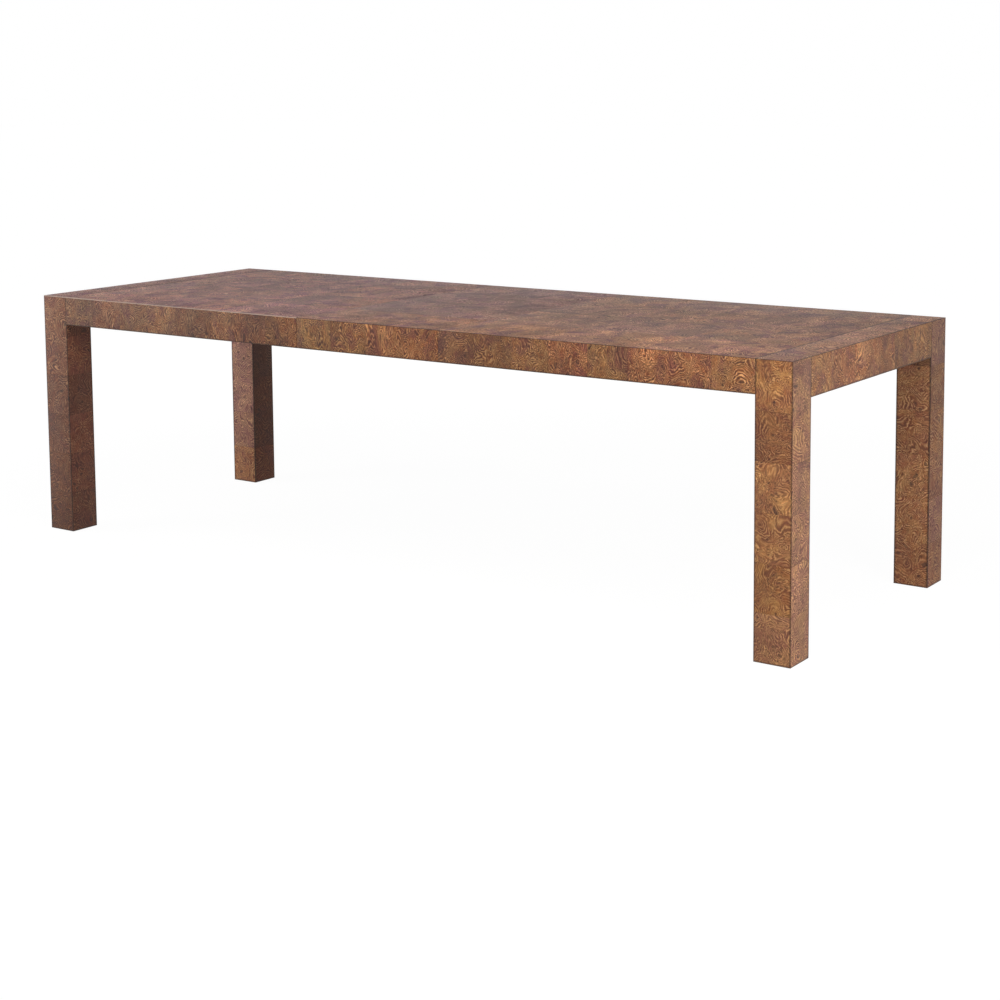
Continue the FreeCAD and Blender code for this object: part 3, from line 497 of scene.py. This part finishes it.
def steel_finish():
    """Bright zinc plate over steel, slightly clouded."""
    bright, clouded = (0.48, 0.48, 0.47), (0.34, 0.35, 0.36)
    finish = Finish(bpy.data.materials.new("zinc_plated_steel"))
    bloom = finish.noise(finish.place(), 9 * MM, detail=3.0)
    scratches = finish.noise(finish.along_grain(0.05), 0.6 * MM)
    metal = finish.blend(finish.step(bloom, 0.35, 0.7), bright, clouded)
    roughness = bloom * 0.2 + scratches * 0.18 + 0.16
    return finish.surface(metal, roughness, bump=scratches, depth=0.02 * MM, Metallic=1.0)


def brass_finish():
    """Turned and cut brass with a little tarnish."""
    cut, tarnished = (0.70, 0.47, 0.17), (0.40, 0.24, 0.08)
    finish = Finish(bpy.data.materials.new("cut_brass"))
    place = finish.place()
    tarnish = finish.noise(place, 7 * MM, detail=3.0)
    tooling = finish.noise(place, 0.7 * MM)
    metal = finish.blend(finish.step(tarnish, 0.4, 0.72), cut, tarnished)
    return finish.surface(metal, roughness=tarnish * 0.25 + 0.2, bump=tooling, depth=0.02 * MM, Metallic=1.0)


def nylon_finish():
    """Moulded dark nylon, scuffed by the floor."""
    dark, scuffed = (0.022, 0.021, 0.02), (0.075, 0.07, 0.066)
    finish = Finish(bpy.data.materials.new("moulded_nylon"))
    place = finish.place()
    grain = finish.noise(place, 0.5 * MM, detail=1.0)
    scuffs = finish.noise(place, 6 * MM, detail=3.0)
    plastic = finish.blend(finish.step(scuffs, 0.5, 0.75), dark, scuffed)
    return finish.surface(plastic, roughness=scuffs * 0.3 + 0.35, bump=grain, depth=0.03 * MM)


FINISHES = {
    "burl_veneer": burl_finish,
    "hardwood": hardwood_finish,
    "board": board_finish,
    "steel": steel_finish,
    "brass": brass_finish,
    "nylon": nylon_finish,
}
mixed = {}


def finish_for(slot):
    """The one material of a slot, mixed when it is first asked for."""
    if slot not in mixed:
        mixed[slot] = FINISHES[slot]()
    return mixed[slot]


# How the sheets look. Each is lighter, redder, rosier, cloudier and more boldly figured as these rise
PLAIN = {"brightness": 0.0, "warmth": 0.0, "rosiness": 0.0, "cloudiness": 1.0, "boldness": 1.0}

# How a group of faces is laid: how much closer its figure runs along the face than up it, how far its
# sheets stray in brightness and warmth, and the look they share
Laying = namedtuple("Laying", "flow spread look")
IN_STRIPS = Laying(flow=1.0, spread=0.55, look=PLAIN)
ON_LEGS = Laying(flow=1.0, spread=0.55, look={"cloudiness": 0.35, "rosiness": 0.1})
ON_APRONS = Laying(flow=1.45, spread=0.6,
                   look={"boldness": 1.4, "rosiness": 0.1, "warmth": 0.55, "brightness": 0.12})
ON_TOP = Laying(flow=1.0, spread=0.3, look={"cloudiness": 1.4, "boldness": 1.5, "rosiness": 0.55})

# What sets apart a face or one row of a field. Lift is how much lighter each next sheet from the face's
# low end is. A few entries are painted shade, and one is painted light; each is marked
ACCENTS = {
    "left_cross_band": {"brightness": 1.4, "warmth": -0.7, "rosiness": 0.88},
    "left_field": {"brightness": 1.35, "warmth": -0.6, "rosiness": 0.88},
    "left_field_row_0": {"brightness": 1.8, "rosiness": 0.84, "boldness": 1.2},
    "leaf_field": {"brightness": 0.2, "warmth": -0.6, "rosiness": 0.8},
    "leaf_field_row_0": {"brightness": 0.5, "warmth": -0.4, "rosiness": 0.65, "boldness": 1.2},
    "right_field": {"brightness": 0.1, "warmth": -0.5, "rosiness": 0.52},
    "right_field_row_0": {"brightness": 0.75, "rosiness": 0.42, "boldness": 1.2},
    "right_cross_band": {"brightness": 0.6, "warmth": -0.6, "rosiness": 0.45},

    "left_front_apron_veneer_face": {"brightness": -0.45, "warmth": 0.3, "rosiness": 0.34},
    "leaf_front_apron_veneer_face": {"brightness": 0.35, "warmth": 0.6, "rosiness": 0.06},
    "right_end_face": {"brightness": 0.35, "lift": -0.23, "warmth": 0.5, "rosiness": 0.13, "boldness": 1.2},

    "front_left_leg_face": {"brightness": -1.65, "lift": 0.23, "warmth": 0.9, "rosiness": 0.28,
                            "boldness": 1.25},
    # Painted shade: the front left leg's inner face is darkened for the shade under the table
    "front_left_leg_knee": {"brightness": -1.2, "warmth": 1.5, "rosiness": 0.36},
    # Painted light: the back left leg's front face is lightened for light that the lamps don't bring under
    # the table; its greyer, rosier tone is the veneer's
    "back_left_leg_back": {"brightness": 1.2, "lift": 0.05, "warmth": -1.2, "rosiness": 0.36},
    # Painted shade: the back left leg's inner face is darkened for the shade under the table, more towards
    # its top
    "back_left_leg_knee": {"brightness": -1.6, "lift": -0.4, "warmth": 2.2, "rosiness": 0.3},
    "front_right_leg_face": {"brightness": 0.2, "warmth": -0.3, "rosiness": 0.05, "boldness": 0.93},
    "front_right_leg_end": {"brightness": 1.05, "lift": -0.23, "warmth": -1.1, "rosiness": 0.12,
                            "cloudiness": 0.8, "boldness": 0.95},
    "back_right_leg_back": {"warmth": 0.2, "rosiness": 0.2},
    "back_right_leg_end": {"brightness": 0.7, "lift": -0.32, "warmth": -0.5, "rosiness": 0.25},
}

# And what sets apart a single sheet, counted from the face's low end; two are painted shade, as marked
SHEET_ACCENTS = {
    "left_front_apron_veneer_face": {
        5: {"brightness": -0.7, "warmth": 1.2, "rosiness": 0.26, "boldness": 1.6},
        6: {"brightness": -0.9, "warmth": 1.5, "rosiness": 0.2, "boldness": 1.6},
        7: {"brightness": -0.7, "warmth": 1.5, "rosiness": 0.12, "boldness": 1.6},
    },
    "right_front_apron_veneer_face": {
        0: {"brightness": -0.4, "warmth": 1.4},
        1: {"brightness": -1.5, "warmth": 1.0},
        2: {"brightness": -0.75, "warmth": 0.9},
        3: {"brightness": 0.35, "warmth": 1.2},
        7: {"brightness": -0.4},
    },
    "front_left_leg_face": {
        0: {"brightness": -1.4, "warmth": 1.8, "rosiness": 0.12},
        1: {"brightness": -2.1, "warmth": 1.4, "rosiness": 0.16},
    },
    # Painted shade: the top sheet of the front left leg's inner face, darkened further for the shadow under
    # the apron
    "front_left_leg_knee": {5: {"brightness": -2.0, "warmth": 2.0, "rosiness": 0.3, "boldness": 1.3}},
    "back_left_leg_back": {
        0: {"warmth": -0.5, "rosiness": 0.22},
        1: {"warmth": -0.7, "rosiness": 0.26},
    },
    "front_right_leg_face": {
        0: {"brightness": 0.3},
        1: {"brightness": 0.35, "boldness": 0.8},
        2: {"brightness": 0.3, "boldness": 0.8},
        3: {"brightness": 0.85},
        4: {"brightness": -0.5, "warmth": 0.8},
    },
    # Painted shade: the top sheet of the back right leg's front face, darkened for the shadow under the end
    # apron
    "back_right_leg_back": {5: {"brightness": -1.6, "warmth": 0.5}},
}

# The faces with a painted highlight: a pale line along one eased side, for the light that edge catches
HIGHLIT_EDGES = {
    "left_cross_band": (Y, LOW),
    "left_field": (Y, LOW),
    "front_left_leg_face": (Z, HIGH),
    "left_front_apron_veneer_face": (Z, HIGH),
}


# Veneer sheets

FIGURE_LEAN = 14.0       # degrees that a sheet may be cut out of true
FLITCH_LENGTH = 9.0      # metres of figure that the sheets are drawn from
APRON_BOARD = 22.0 * MM  # thickness of an apron's board, which a strip of veneer covers from below
NEAR = 1e-5              # metres within which a corner counts as lying in a plane
EASE_FACETS = 3          # facets across an eased edge
SMOOTH_BELOW = 40.0      # degrees between faces that are still shaded as one
FAR_AWAY = 1.0           # stands for the distance to a side that has no darkened edge and no painted highlight, in metres
BORDERS = ("seam_near", "seam_far", "edge_near", "edge_far")


def sheet_look(name, i, j, shared):
    """A sheet's look: its group's, changed by what sets its face, its row and itself apart."""
    look = {**PLAIN, **shared}
    for key in (name, f"{name}_row_{j}"):
        look.update(ACCENTS.get(key, {}))
    look.update(SHEET_ACCENTS.get(name, {}).get(i + j, {}))
    lift = look.pop("lift", 0.0)
    look["brightness"] += lift * (i + j)
    return look


class Sheet:
    """One sheet of veneer in a face: its place there, its look, and how it was cut from the flitch."""

    def __init__(self, along, up, draw, laying, look):
        self.low, self.high = zip(along, up)
        self.centre = (sum(along) / 2, sum(up) / 2)
        self.turn = math.radians(draw.uniform(-FIGURE_LEAN, FIGURE_LEAN))
        self.flip = draw.choice((-1, 1))
        self.start = (draw.uniform(0, FLITCH_LENGTH), draw.uniform(0, FLITCH_LENGTH))
        self.flow = laying.flow
        self.look = look
        for name in ("brightness", "warmth"):
            self.look[name] += draw.uniform(-laying.spread, laying.spread)

    def to_seams(self, along, up):
        """How far a point of the face is from the sheet's near seams and its far ones."""
        near = (along - self.low[0], up - self.low[1])
        far = (self.high[0] - along, self.high[1] - up)
        return near, far

    def on_flitch(self, along, up):
        """Where a point of the face was cut from, in metres."""
        x = (along - self.centre[0]) * self.flip * self.flow
        y = up - self.centre[1]
        cosine, sine = math.cos(self.turn), math.sin(self.turn)
        return (self.start[0] + x * cosine - y * sine, self.start[1] + x * sine + y * cosine)


def parts_of(start, end, count):
    """The lines that divide start to end into equal parts, both ends included."""
    return [start + (end - start) * i / count for i in range(count + 1)]


def between(lines, value):
    """Which stretch between neighbouring lines a value lies in."""
    return min(max(bisect.bisect_right(lines, value) - 1, 0), len(lines) - 2)


def corners(*spans):
    """The box given by a pair of ends for each axis, in either order."""
    low = Vector([min(span) for span in spans])
    high = Vector([max(span) for span in spans])
    return low, high


def level_at(box, side):
    """Where a box ends on one side, which is an axis and an end."""
    axis, end = side
    return (box[1] if end == HIGH else box[0])[axis]


def select_only(*pieces):
    """Leaves just these selected, the first one active."""
    bpy.ops.object.select_all(action="DESELECT")
    for piece in pieces:
        piece.select_set(True)
    bpy.context.view_layer.objects.active = pieces[0]


def new_slab(name, box):
    """A closed board that fills a box, active and alone in the selection."""
    low, high = box
    bpy.ops.object.select_all(action="DESELECT")
    bpy.ops.mesh.primitive_cube_add(size=1, location=(low + high) / 2, scale=high - low)
    bpy.ops.object.transform_apply(location=True, rotation=True, scale=True)
    slab = bpy.context.object
    slab.name = name
    return slab


def divide(axis, lines):
    """Cuts the active slab's faces across at each line along an axis."""
    bpy.ops.object.mode_set(mode="EDIT")
    for line in lines:
        bpy.ops.mesh.select_all(action="SELECT")
        bpy.ops.mesh.bisect(plane_co=AXES[axis] * line, plane_no=AXES[axis])
    bpy.ops.object.mode_set(mode="OBJECT")


def on_side(ends, box, side):
    """Whether an edge lies in a box's face on one side."""
    level = level_at(box, side)
    return all(abs(co[side[0]] - level) < NEAR for co in ends)


def ease(slab, box, facing, sides):
    """Rubs back the outer face's edges on these sides."""
    bpy.context.tool_settings.mesh_select_mode = (False, True, False)
    bpy.ops.object.mode_set(mode="EDIT")
    bpy.ops.mesh.select_all(action="DESELECT")
    bpy.ops.object.mode_set(mode="OBJECT")
    mesh = slab.data
    for edge in mesh.edges:
        ends = [mesh.vertices[i].co for i in edge.vertices]
        edge.select = on_side(ends, box, facing) and any(on_side(ends, box, side) for side in sides)
    bpy.ops.object.mode_set(mode="EDIT")
    width = bpy.context.scene.table_veneer.ease
    bpy.ops.mesh.bevel(offset=width, segments=EASE_FACETS, affect="EDGES")
    bpy.ops.object.mode_set(mode="OBJECT")


def distance_in(point, box, side):
    """How far a point lies in from one side of a box."""
    return abs(level_at(box, side) - point[side[0]])


def add_layers(mesh):
    """Makes room in a slab's mesh for what its sheets tell the finish."""
    mesh.uv_layers.new(name="sheet")
    for label in BORDERS:
        mesh.attributes.new(label, "FLOAT_VECTOR", "CORNER")
    for label in PLAIN:
        mesh.attributes.new(label, "FLOAT", "FACE")
    # and room for the distance to a painted highlight
    mesh.attributes.new("to_rubbed", "FLOAT", "CORNER")


def mark_face(mesh, face, sheet, box, axes, darkened_sides, highlit_edge):
    """Writes a sheet's look, its place on the flitch and its borders into one face of a slab."""
    for label, value in sheet.look.items():
        mesh.attributes[label].data[face.index].value = value
    for corner in face.loop_indices:
        point = mesh.vertices[mesh.loops[corner].vertex_index].co
        here = [point[axis] for axis in axes]
        mesh.uv_layers["sheet"].data[corner].uv = sheet.on_flitch(*here)
        # how far the corner lies from the side with the painted highlight
        to_rubbed = distance_in(point, box, highlit_edge) if highlit_edge else FAR_AWAY
        mesh.attributes["to_rubbed"].data[corner].value = to_rubbed
        to_edges = [[distance_in(point, box, (axis, end)) if (axis, end) in darkened_sides else FAR_AWAY
                     for axis in axes] for end in (LOW, HIGH)]
        for label, distances in zip(BORDERS, (*sheet.to_seams(*here), *to_edges)):
            mesh.attributes[label].data[corner].vector = (*distances, 0.0)


def lay_sheets(name, box, facing, along, up, sides, laying=IN_STRIPS, darkened_sides=None):
    """One veneered face: a thin slab divided into sheets along the lines given for each in-plane axis.

    Edges on these sides are eased. The wood is darker along the darkened sides, which are the same
    unless given. Some faces also get a painted highlight along one side.
    """
    axes = [axis for axis in (X, Y, Z) if axis != facing[0]]
    slab = new_slab(name, box)
    for axis, lines in zip(axes, (along, up)):
        divide(axis, lines[1:-1])
    ease(slab, box, facing, sides)
    draw = random.Random(name)
    sheets = [[Sheet(column, row, draw, laying, sheet_look(name, i, j, laying.look))
               for j, row in enumerate(zip(up, up[1:]))]
              for i, column in enumerate(zip(along, along[1:]))]
    add_layers(slab.data)
    for face in slab.data.polygons:
        centre = [face.center[axis] for axis in axes]
        sheet = sheets[between(along, centre[0])][between(up, centre[1])]
        mark_face(slab.data, face, sheet, box, axes, sides if darkened_sides is None else darkened_sides, HIGHLIT_EDGES.get(name))
    return slab


def joined(name, slabs):
    """Several slabs as one piece."""
    select_only(*slabs)
    bpy.ops.object.join()
    piece = bpy.context.object
    piece.name = name
    return piece


def dress(piece, body, node, slot="burl_veneer"):
    """Finishes a piece, and lets it stand for its node and move with its body."""
    piece.data.materials.clear()
    piece.data.materials.append(finish_for(slot))
    select_only(piece)
    bpy.ops.object.shade_smooth_by_angle(angle=math.radians(SMOOTH_BELOW))
    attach(piece, body)
    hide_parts(node)


# The steps of the veneering

LONG_SIDES = ((Y, LOW), (Y, HIGH))
ALL_ROUND = ((X, LOW), (X, HIGH), *LONG_SIDES)


def long_apron_low():
    """The level of the long aprons' lower edge."""
    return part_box("leaf_apron_veneer")[0].z


def leg_inner_x(half):
    """Where a half's legs end and its aprons begin."""
    low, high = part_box(f"front_{half}_leg_veneer")
    return high.x if half == "left" else low.x


class TABLE_OT_lay_top(bpy.types.Operator):
    """Lays the cross bands and the field of sheets over the top's three boards"""

    bl_idname = "table.lay_top"
    bl_label = "Lay Top Veneer"

    def execute(self, context):
        look = context.scene.table_veneer
        for half, end in HALVES.items():
            body, node = f"{half}_half", f"{half}_top_veneer"
            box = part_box(node)
            joint = leg_inner_x(half)
            depth, height = (box[0].y, box[1].y), (box[0].z, box[1].z)
            band_box = corners((level_at(box, (X, end)), joint), depth, height)
            self.lay_board(f"{half}_cross_band", body, node, band_box, 1, look.band_sheets)
            field_box = corners((joint, level_at(box, (X, -end))), depth, height)
            self.lay_board(f"{half}_field", body, node, field_box, look.field_columns, look.field_rows,
                           darkened_sides=((X, end), *LONG_SIDES))
        self.lay_board("leaf_field", "leaf", "leaf_top_veneer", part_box("leaf_top_veneer"),
                       look.leaf_columns, look.field_rows, darkened_sides=LONG_SIDES)
        return {"FINISHED"}

    def lay_board(self, name, body, node, box, columns, rows, darkened_sides=ALL_ROUND):
        """Columns and rows of sheets over a box."""
        low, high = box
        slab = lay_sheets(name, box, (Z, HIGH), parts_of(low.x, high.x, columns),
                          parts_of(low.y, high.y, rows), ALL_ROUND, ON_TOP, darkened_sides)
        dress(slab, body, node)


def apron_slabs(prefix, facing, depth, span, levels, count, seams=()):
    """Face sheets of an apron between two places along it, and the strip of veneer under its board.

    Depth says where the outer face lies, and where the board behind it begins.
    """
    skin = bpy.context.scene.table_veneer.thickness
    axis, end = facing
    run = Y if axis == X else X
    face, board = depth
    bottom = levels[0]
    lines = parts_of(min(span), max(span), count)
    spans = {run: span, axis: (face, face - end * skin)}
    front = lay_sheets(f"{prefix}_face", corners(spans[X], spans[Y], levels), facing, lines,
                       list(levels), [(Z, LOW)] + [(run, seam) for seam in seams], ON_APRONS,
                       darkened_sides=[(Z, LOW)])
    spans[axis] = (board, face - end * (skin + APRON_BOARD))
    low, high = corners(spans[X], spans[Y], (bottom, bottom + skin))
    cuts = {run: lines, axis: [low[axis], high[axis]]}
    strip = lay_sheets(f"{prefix}_strip", (low, high), (Z, LOW), cuts[X], cuts[Y], [(axis, -end)])
    return [front, strip]


class TABLE_OT_lay_aprons(bpy.types.Operator):
    """Lays upright sheets along all the aprons, and a strip under each"""

    bl_idname = "table.lay_aprons"
    bl_label = "Lay Apron Veneer"

    def execute(self, context):
        look = context.scene.table_veneer
        for half, end in HALVES.items():
            body, node = f"{half}_half", f"{half}_apron_veneer"
            low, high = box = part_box(node)
            span = (leg_inner_x(half), level_at(box, (X, -end)))
            self.lay_long(half, body, node, span, look.long_apron_sheets, [-end])
            face = level_at(box, (X, end))
            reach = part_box(f"front_{half}_leg_veneer")[1].y
            slabs = apron_slabs(f"{half}_end", (X, end), (face, face - end * look.thickness),
                                (reach, -reach), (low.z, high.z), look.end_apron_sheets)
            dress(joined(f"{half}_end_apron_veneer", slabs), body, node)
        low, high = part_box("leaf_apron_veneer")
        self.lay_long("leaf", "leaf", "leaf_apron_veneer", (low.x, high.x), look.leaf_apron_sheets,
                      [LOW, HIGH])
        return {"FINISHED"}

    def lay_long(self, board, body, node, span, count, seams):
        """The front and back aprons of a half or the leaf."""
        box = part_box(node)
        for side, end in SIDES.items():
            name = f"{board}_{side}_apron_veneer"
            depth = (level_at(box, (Y, end)), level_at(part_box("leaf_aprons"), (Y, end)))
            slabs = apron_slabs(name, (Y, end), depth, span, (long_apron_low(), box[1].z), count, seams)
            dress(joined(name, slabs), body, node)


class TABLE_OT_lay_legs(bpy.types.Operator):
    """Stacks sheets up the four faces of each leg"""

    bl_idname = "table.lay_legs"
    bl_label = "Lay Leg Veneer"

    def execute(self, context):
        for half, end in HALVES.items():
            for side, depth in SIDES.items():
                self.lay_leg(context.scene.table_veneer, half, end, side, depth)
        return {"FINISHED"}

    def lay_leg(self, look, half, end, side, depth):
        """One leg: its two outer faces, and the two inner ones up to the aprons."""
        node = f"{side}_{half}_leg_veneer"
        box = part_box(node)
        skin = look.thickness
        bottom, full = box[0].z, box[1].z
        levels = parts_of(bottom, full, look.leg_sheets)
        outer_x, inner_x = level_at(box, (X, end)), level_at(box, (X, -end))
        outer_y, inner_y = level_at(box, (Y, depth)), level_at(box, (Y, -depth))
        behind_end, behind_knee = outer_x - end * skin, inner_x + end * skin
        behind_face, behind_back = outer_y - depth * skin, inner_y + depth * skin
        under_long = long_apron_low() + skin
        under_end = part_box(f"{half}_apron_veneer")[0].z + skin
        faces = (
            ("face", (outer_x, inner_x), (outer_y, behind_face), full, (Y, depth)),
            ("end", (outer_x, behind_end), (behind_face, inner_y), full, (X, end)),
            ("knee", (behind_knee, inner_x), (behind_face, inner_y), under_long, (X, -end)),
            ("back", (behind_end, behind_knee), (behind_back, inner_y), under_end, (Y, -depth)),
        )
        slabs = []
        for label, across_x, across_y, top, facing in faces:
            low, high = corners(across_x, across_y, (bottom, top))
            lines = [level for level in levels if level < top - skin] + [top]
            if facing[0] == X:
                across, eased = [low.y, high.y], [(Z, LOW), (Y, -depth)]
            else:
                across, eased = [low.x, high.x], [(Z, LOW), (X, LOW), (X, HIGH)]
            slabs.append(lay_sheets(f"{side}_{half}_leg_{label}", (low, high), facing, across, lines, eased,
                                    ON_LEGS))
        dress(joined(f"{side}_{half}_leg_sheets", slabs), f"{half}_half", node)


class TABLE_OT_finish_boards(bpy.types.Operator):
    """Gives the boards, blocks, slides and hardware their finishes"""

    bl_idname = "table.finish_boards"
    bl_label = "Finish Boards and Hardware"

    def execute(self, context):
        for part in frame["record"]["subparts"]:
            node = frame["nodes"][part["node"]]
            node.data.materials.clear()
            node.data.materials.append(finish_for(part["material_slot"]))
        return {"FINISHED"}


# The studio

WHITE = (1.0, 1.0, 1.0)
NEAR_WHITE = (0.975, 0.975, 0.975)
FLOOR_GREY = (0.32, 0.32, 0.32)
SKY = (0.84, 0.87, 1.0)
NEUTRAL = (0.985, 0.985, 1.0)
WARM = (1.0, 0.96, 0.91)
FLOOR_SIZE = 80.0        # metres
FLOOR_FADE = (1.5, 4.0)  # metres from the middle over which the floor turns from near white to white
FLOOR_SHARE = 0.8        # how much of the floor's look is its own glow, which hides most of a shadow
FLOOR_GLOW = 1.25        # with that share and the lamps' own light it comes to white
SENSOR_WIDTH = 36.0      # millimetres
FAR_CLIP = 200.0         # metres

# Each lamp: where it stands, what it faces, its width and height, and its tint
LAMPS = {
    "front": ((-4.3, -3.1, 1.0), (-0.9, 0.0, 0.5), (1.8, 1.4), NEUTRAL),
    "high": ((-2.4, -1.6, 3.0), (-0.5, 0.0, 0.7), (1.8, 1.8), NEUTRAL),
    "over": ((1.3, -1.6, 2.8), (1.0, 0.0, 0.6), (1.6, 1.6), WARM),
    "end": ((2.7, -0.9, 0.8), (1.3, -0.3, 0.5), (0.9, 0.9), NEUTRAL),
    "corner": ((1.4, -2.4, 0.9), (1.3, 0.0, 0.45), (0.8, 0.8), WARM),
    "rear_end": ((2.9, 2.2, 0.6), (1.3, -0.2, 0.5), (1.2, 1.0), NEUTRAL),
    "back": ((-2.2, 4.3, 0.45), (-0.2, 0.0, 0.4), (3.0, 0.5), NEUTRAL),
}


def seen_directly(finish):
    """1 for the rays that show a surface to the camera, also in gloss and through glass, and else 0."""
    kinds = ("Is Camera Ray", "Is Glossy Ray", "Is Transmission Ray")
    camera, gloss, glass = finish.outputs("ShaderNodeLightPath", kinds)
    return camera.math("MAXIMUM", gloss).math("MAXIMUM", glass)


def floor_finish():
    """A white floor that keeps a faint shadow."""
    finish = Finish(bpy.data.materials.new("studio_floor"))
    lit = finish.node("ShaderNodeBsdfDiffuse", {}, {"Color": colour(FLOOR_GREY)})
    away = finish.node("ShaderNodeVectorMath", {"operation": "LENGTH"}, {0: finish.place()}, "Value")
    white = finish.blend(finish.step(away, *FLOOR_FADE), NEAR_WHITE, WHITE)
    plain = finish.node("ShaderNodeEmission", {}, {"Color": white, "Strength": FLOOR_GLOW})
    share = seen_directly(finish) * FLOOR_SHARE
    mix = finish.node("ShaderNodeMixShader", {}, {0: share, 1: lit, 2: plain})
    return finish.end("ShaderNodeOutputMaterial", mix)


def light_world(fill):
    """White where the camera or a reflection sees it, and a soft even fill elsewhere."""
    air = Finish(bpy.data.worlds.new("studio"))
    soft = air.node("ShaderNodeBackground", {}, {"Color": colour(SKY), "Strength": fill})
    white = air.node("ShaderNodeBackground", {}, {"Color": colour(WHITE), "Strength": 1.0})
    mix = air.node("ShaderNodeMixShader", {}, {0: seen_directly(air), 1: soft, 2: white})
    bpy.context.scene.world = air.end("ShaderNodeOutputWorld", mix)


def add_lamp(name, power, place, target, size, tint):
    """A rectangular area lamp that faces a target. The camera doesn't see it."""
    bpy.ops.object.light_add(type="AREA", location=place)
    lamp = bpy.context.object
    lamp.name = name
    lamp.visible_camera = False
    lamp.data.shape = "RECTANGLE"
    lamp.data.size, lamp.data.size_y = size
    lamp.data.energy = power
    lamp.data.color = tint
    lamp.rotation_euler = (Vector(target) - Vector(place)).to_track_quat("-Z", "Y").to_euler()


def add_camera(stage):
    """The camera, turned by its azimuth, elevation and roll."""
    azimuth, elevation, roll = stage.camera_azimuth, stage.camera_elevation, stage.camera_roll
    back = Vector((math.sin(azimuth) * math.cos(elevation),
                   -math.cos(azimuth) * math.cos(elevation), math.sin(elevation)))
    level = (-back).cross(AXES[Z]).normalized()
    down = (-back).cross(level)
    right = level * math.cos(roll) - down * math.sin(roll)
    up = -(level * math.sin(roll) + down * math.cos(roll))
    turn = Matrix((right, up, back)).transposed().to_4x4()
    bpy.ops.object.camera_add()
    camera = bpy.context.object
    camera.name = "studio_camera"
    camera.matrix_world = Matrix.Translation(stage.camera_place) @ turn
    camera.data.sensor_width = SENSOR_WIDTH
    camera.data.lens = stage.lens
    camera.data.shift_y = stage.rise
    camera.data.clip_end = FAR_CLIP
    bpy.context.scene.camera = camera


class TABLE_OT_set_stage(bpy.types.Operator):
    """Sets the floor, the lamps, the world and the camera"""

    bl_idname = "table.set_stage"
    bl_label = "Set Stage"

    def execute(self, context):
        stage = context.scene.table_stage
        context.scene.view_settings.view_transform = "Standard"
        bpy.ops.mesh.primitive_plane_add(size=FLOOR_SIZE)
        floor = context.object
        floor.name = "studio_floor"
        floor.data.materials.append(floor_finish())
        light_world(stage.fill)
        for name, lamp in LAMPS.items():
            add_lamp(name, getattr(stage, f"{name}_power"), *lamp)
        add_camera(stage)
        return {"FINISHED"}


# The add-on

class TABLE_PT_dresser(bpy.types.Panel):
    """Lists the dresser's steps and settings"""

    bl_label = "Parsons Table"
    bl_idname = "TABLE_PT_dresser"
    bl_space_type = "VIEW_3D"
    bl_region_type = "UI"
    bl_category = "Table"

    def draw(self, context):
        for step in STEPS:
            self.layout.operator(step.bl_idname)
        for settings in (context.scene.table_veneer, context.scene.table_stage):
            for name in settings.__annotations__:
                self.layout.prop(settings, name)


STEPS = (TABLE_OT_lay_top, TABLE_OT_lay_aprons, TABLE_OT_lay_legs, TABLE_OT_finish_boards,
         TABLE_OT_set_stage)
CLASSES = (VeneerSettings, StageSettings, *STEPS, TABLE_PT_dresser)


def register():
    for kind in CLASSES:
        bpy.utils.register_class(kind)
    bpy.types.Scene.table_veneer = bpy.props.PointerProperty(type=VeneerSettings)
    bpy.types.Scene.table_stage = bpy.props.PointerProperty(type=StageSettings)


def unregister():
    del bpy.types.Scene.table_stage
    del bpy.types.Scene.table_veneer
    for kind in reversed(CLASSES):
        bpy.utils.unregister_class(kind)


def main():
    register()
    bpy.ops.table.lay_top()
    bpy.ops.table.lay_aprons()
    bpy.ops.table.lay_legs()
    bpy.ops.table.finish_boards()
    bpy.ops.table.set_stage()


if __name__ == "__main__":
    main()
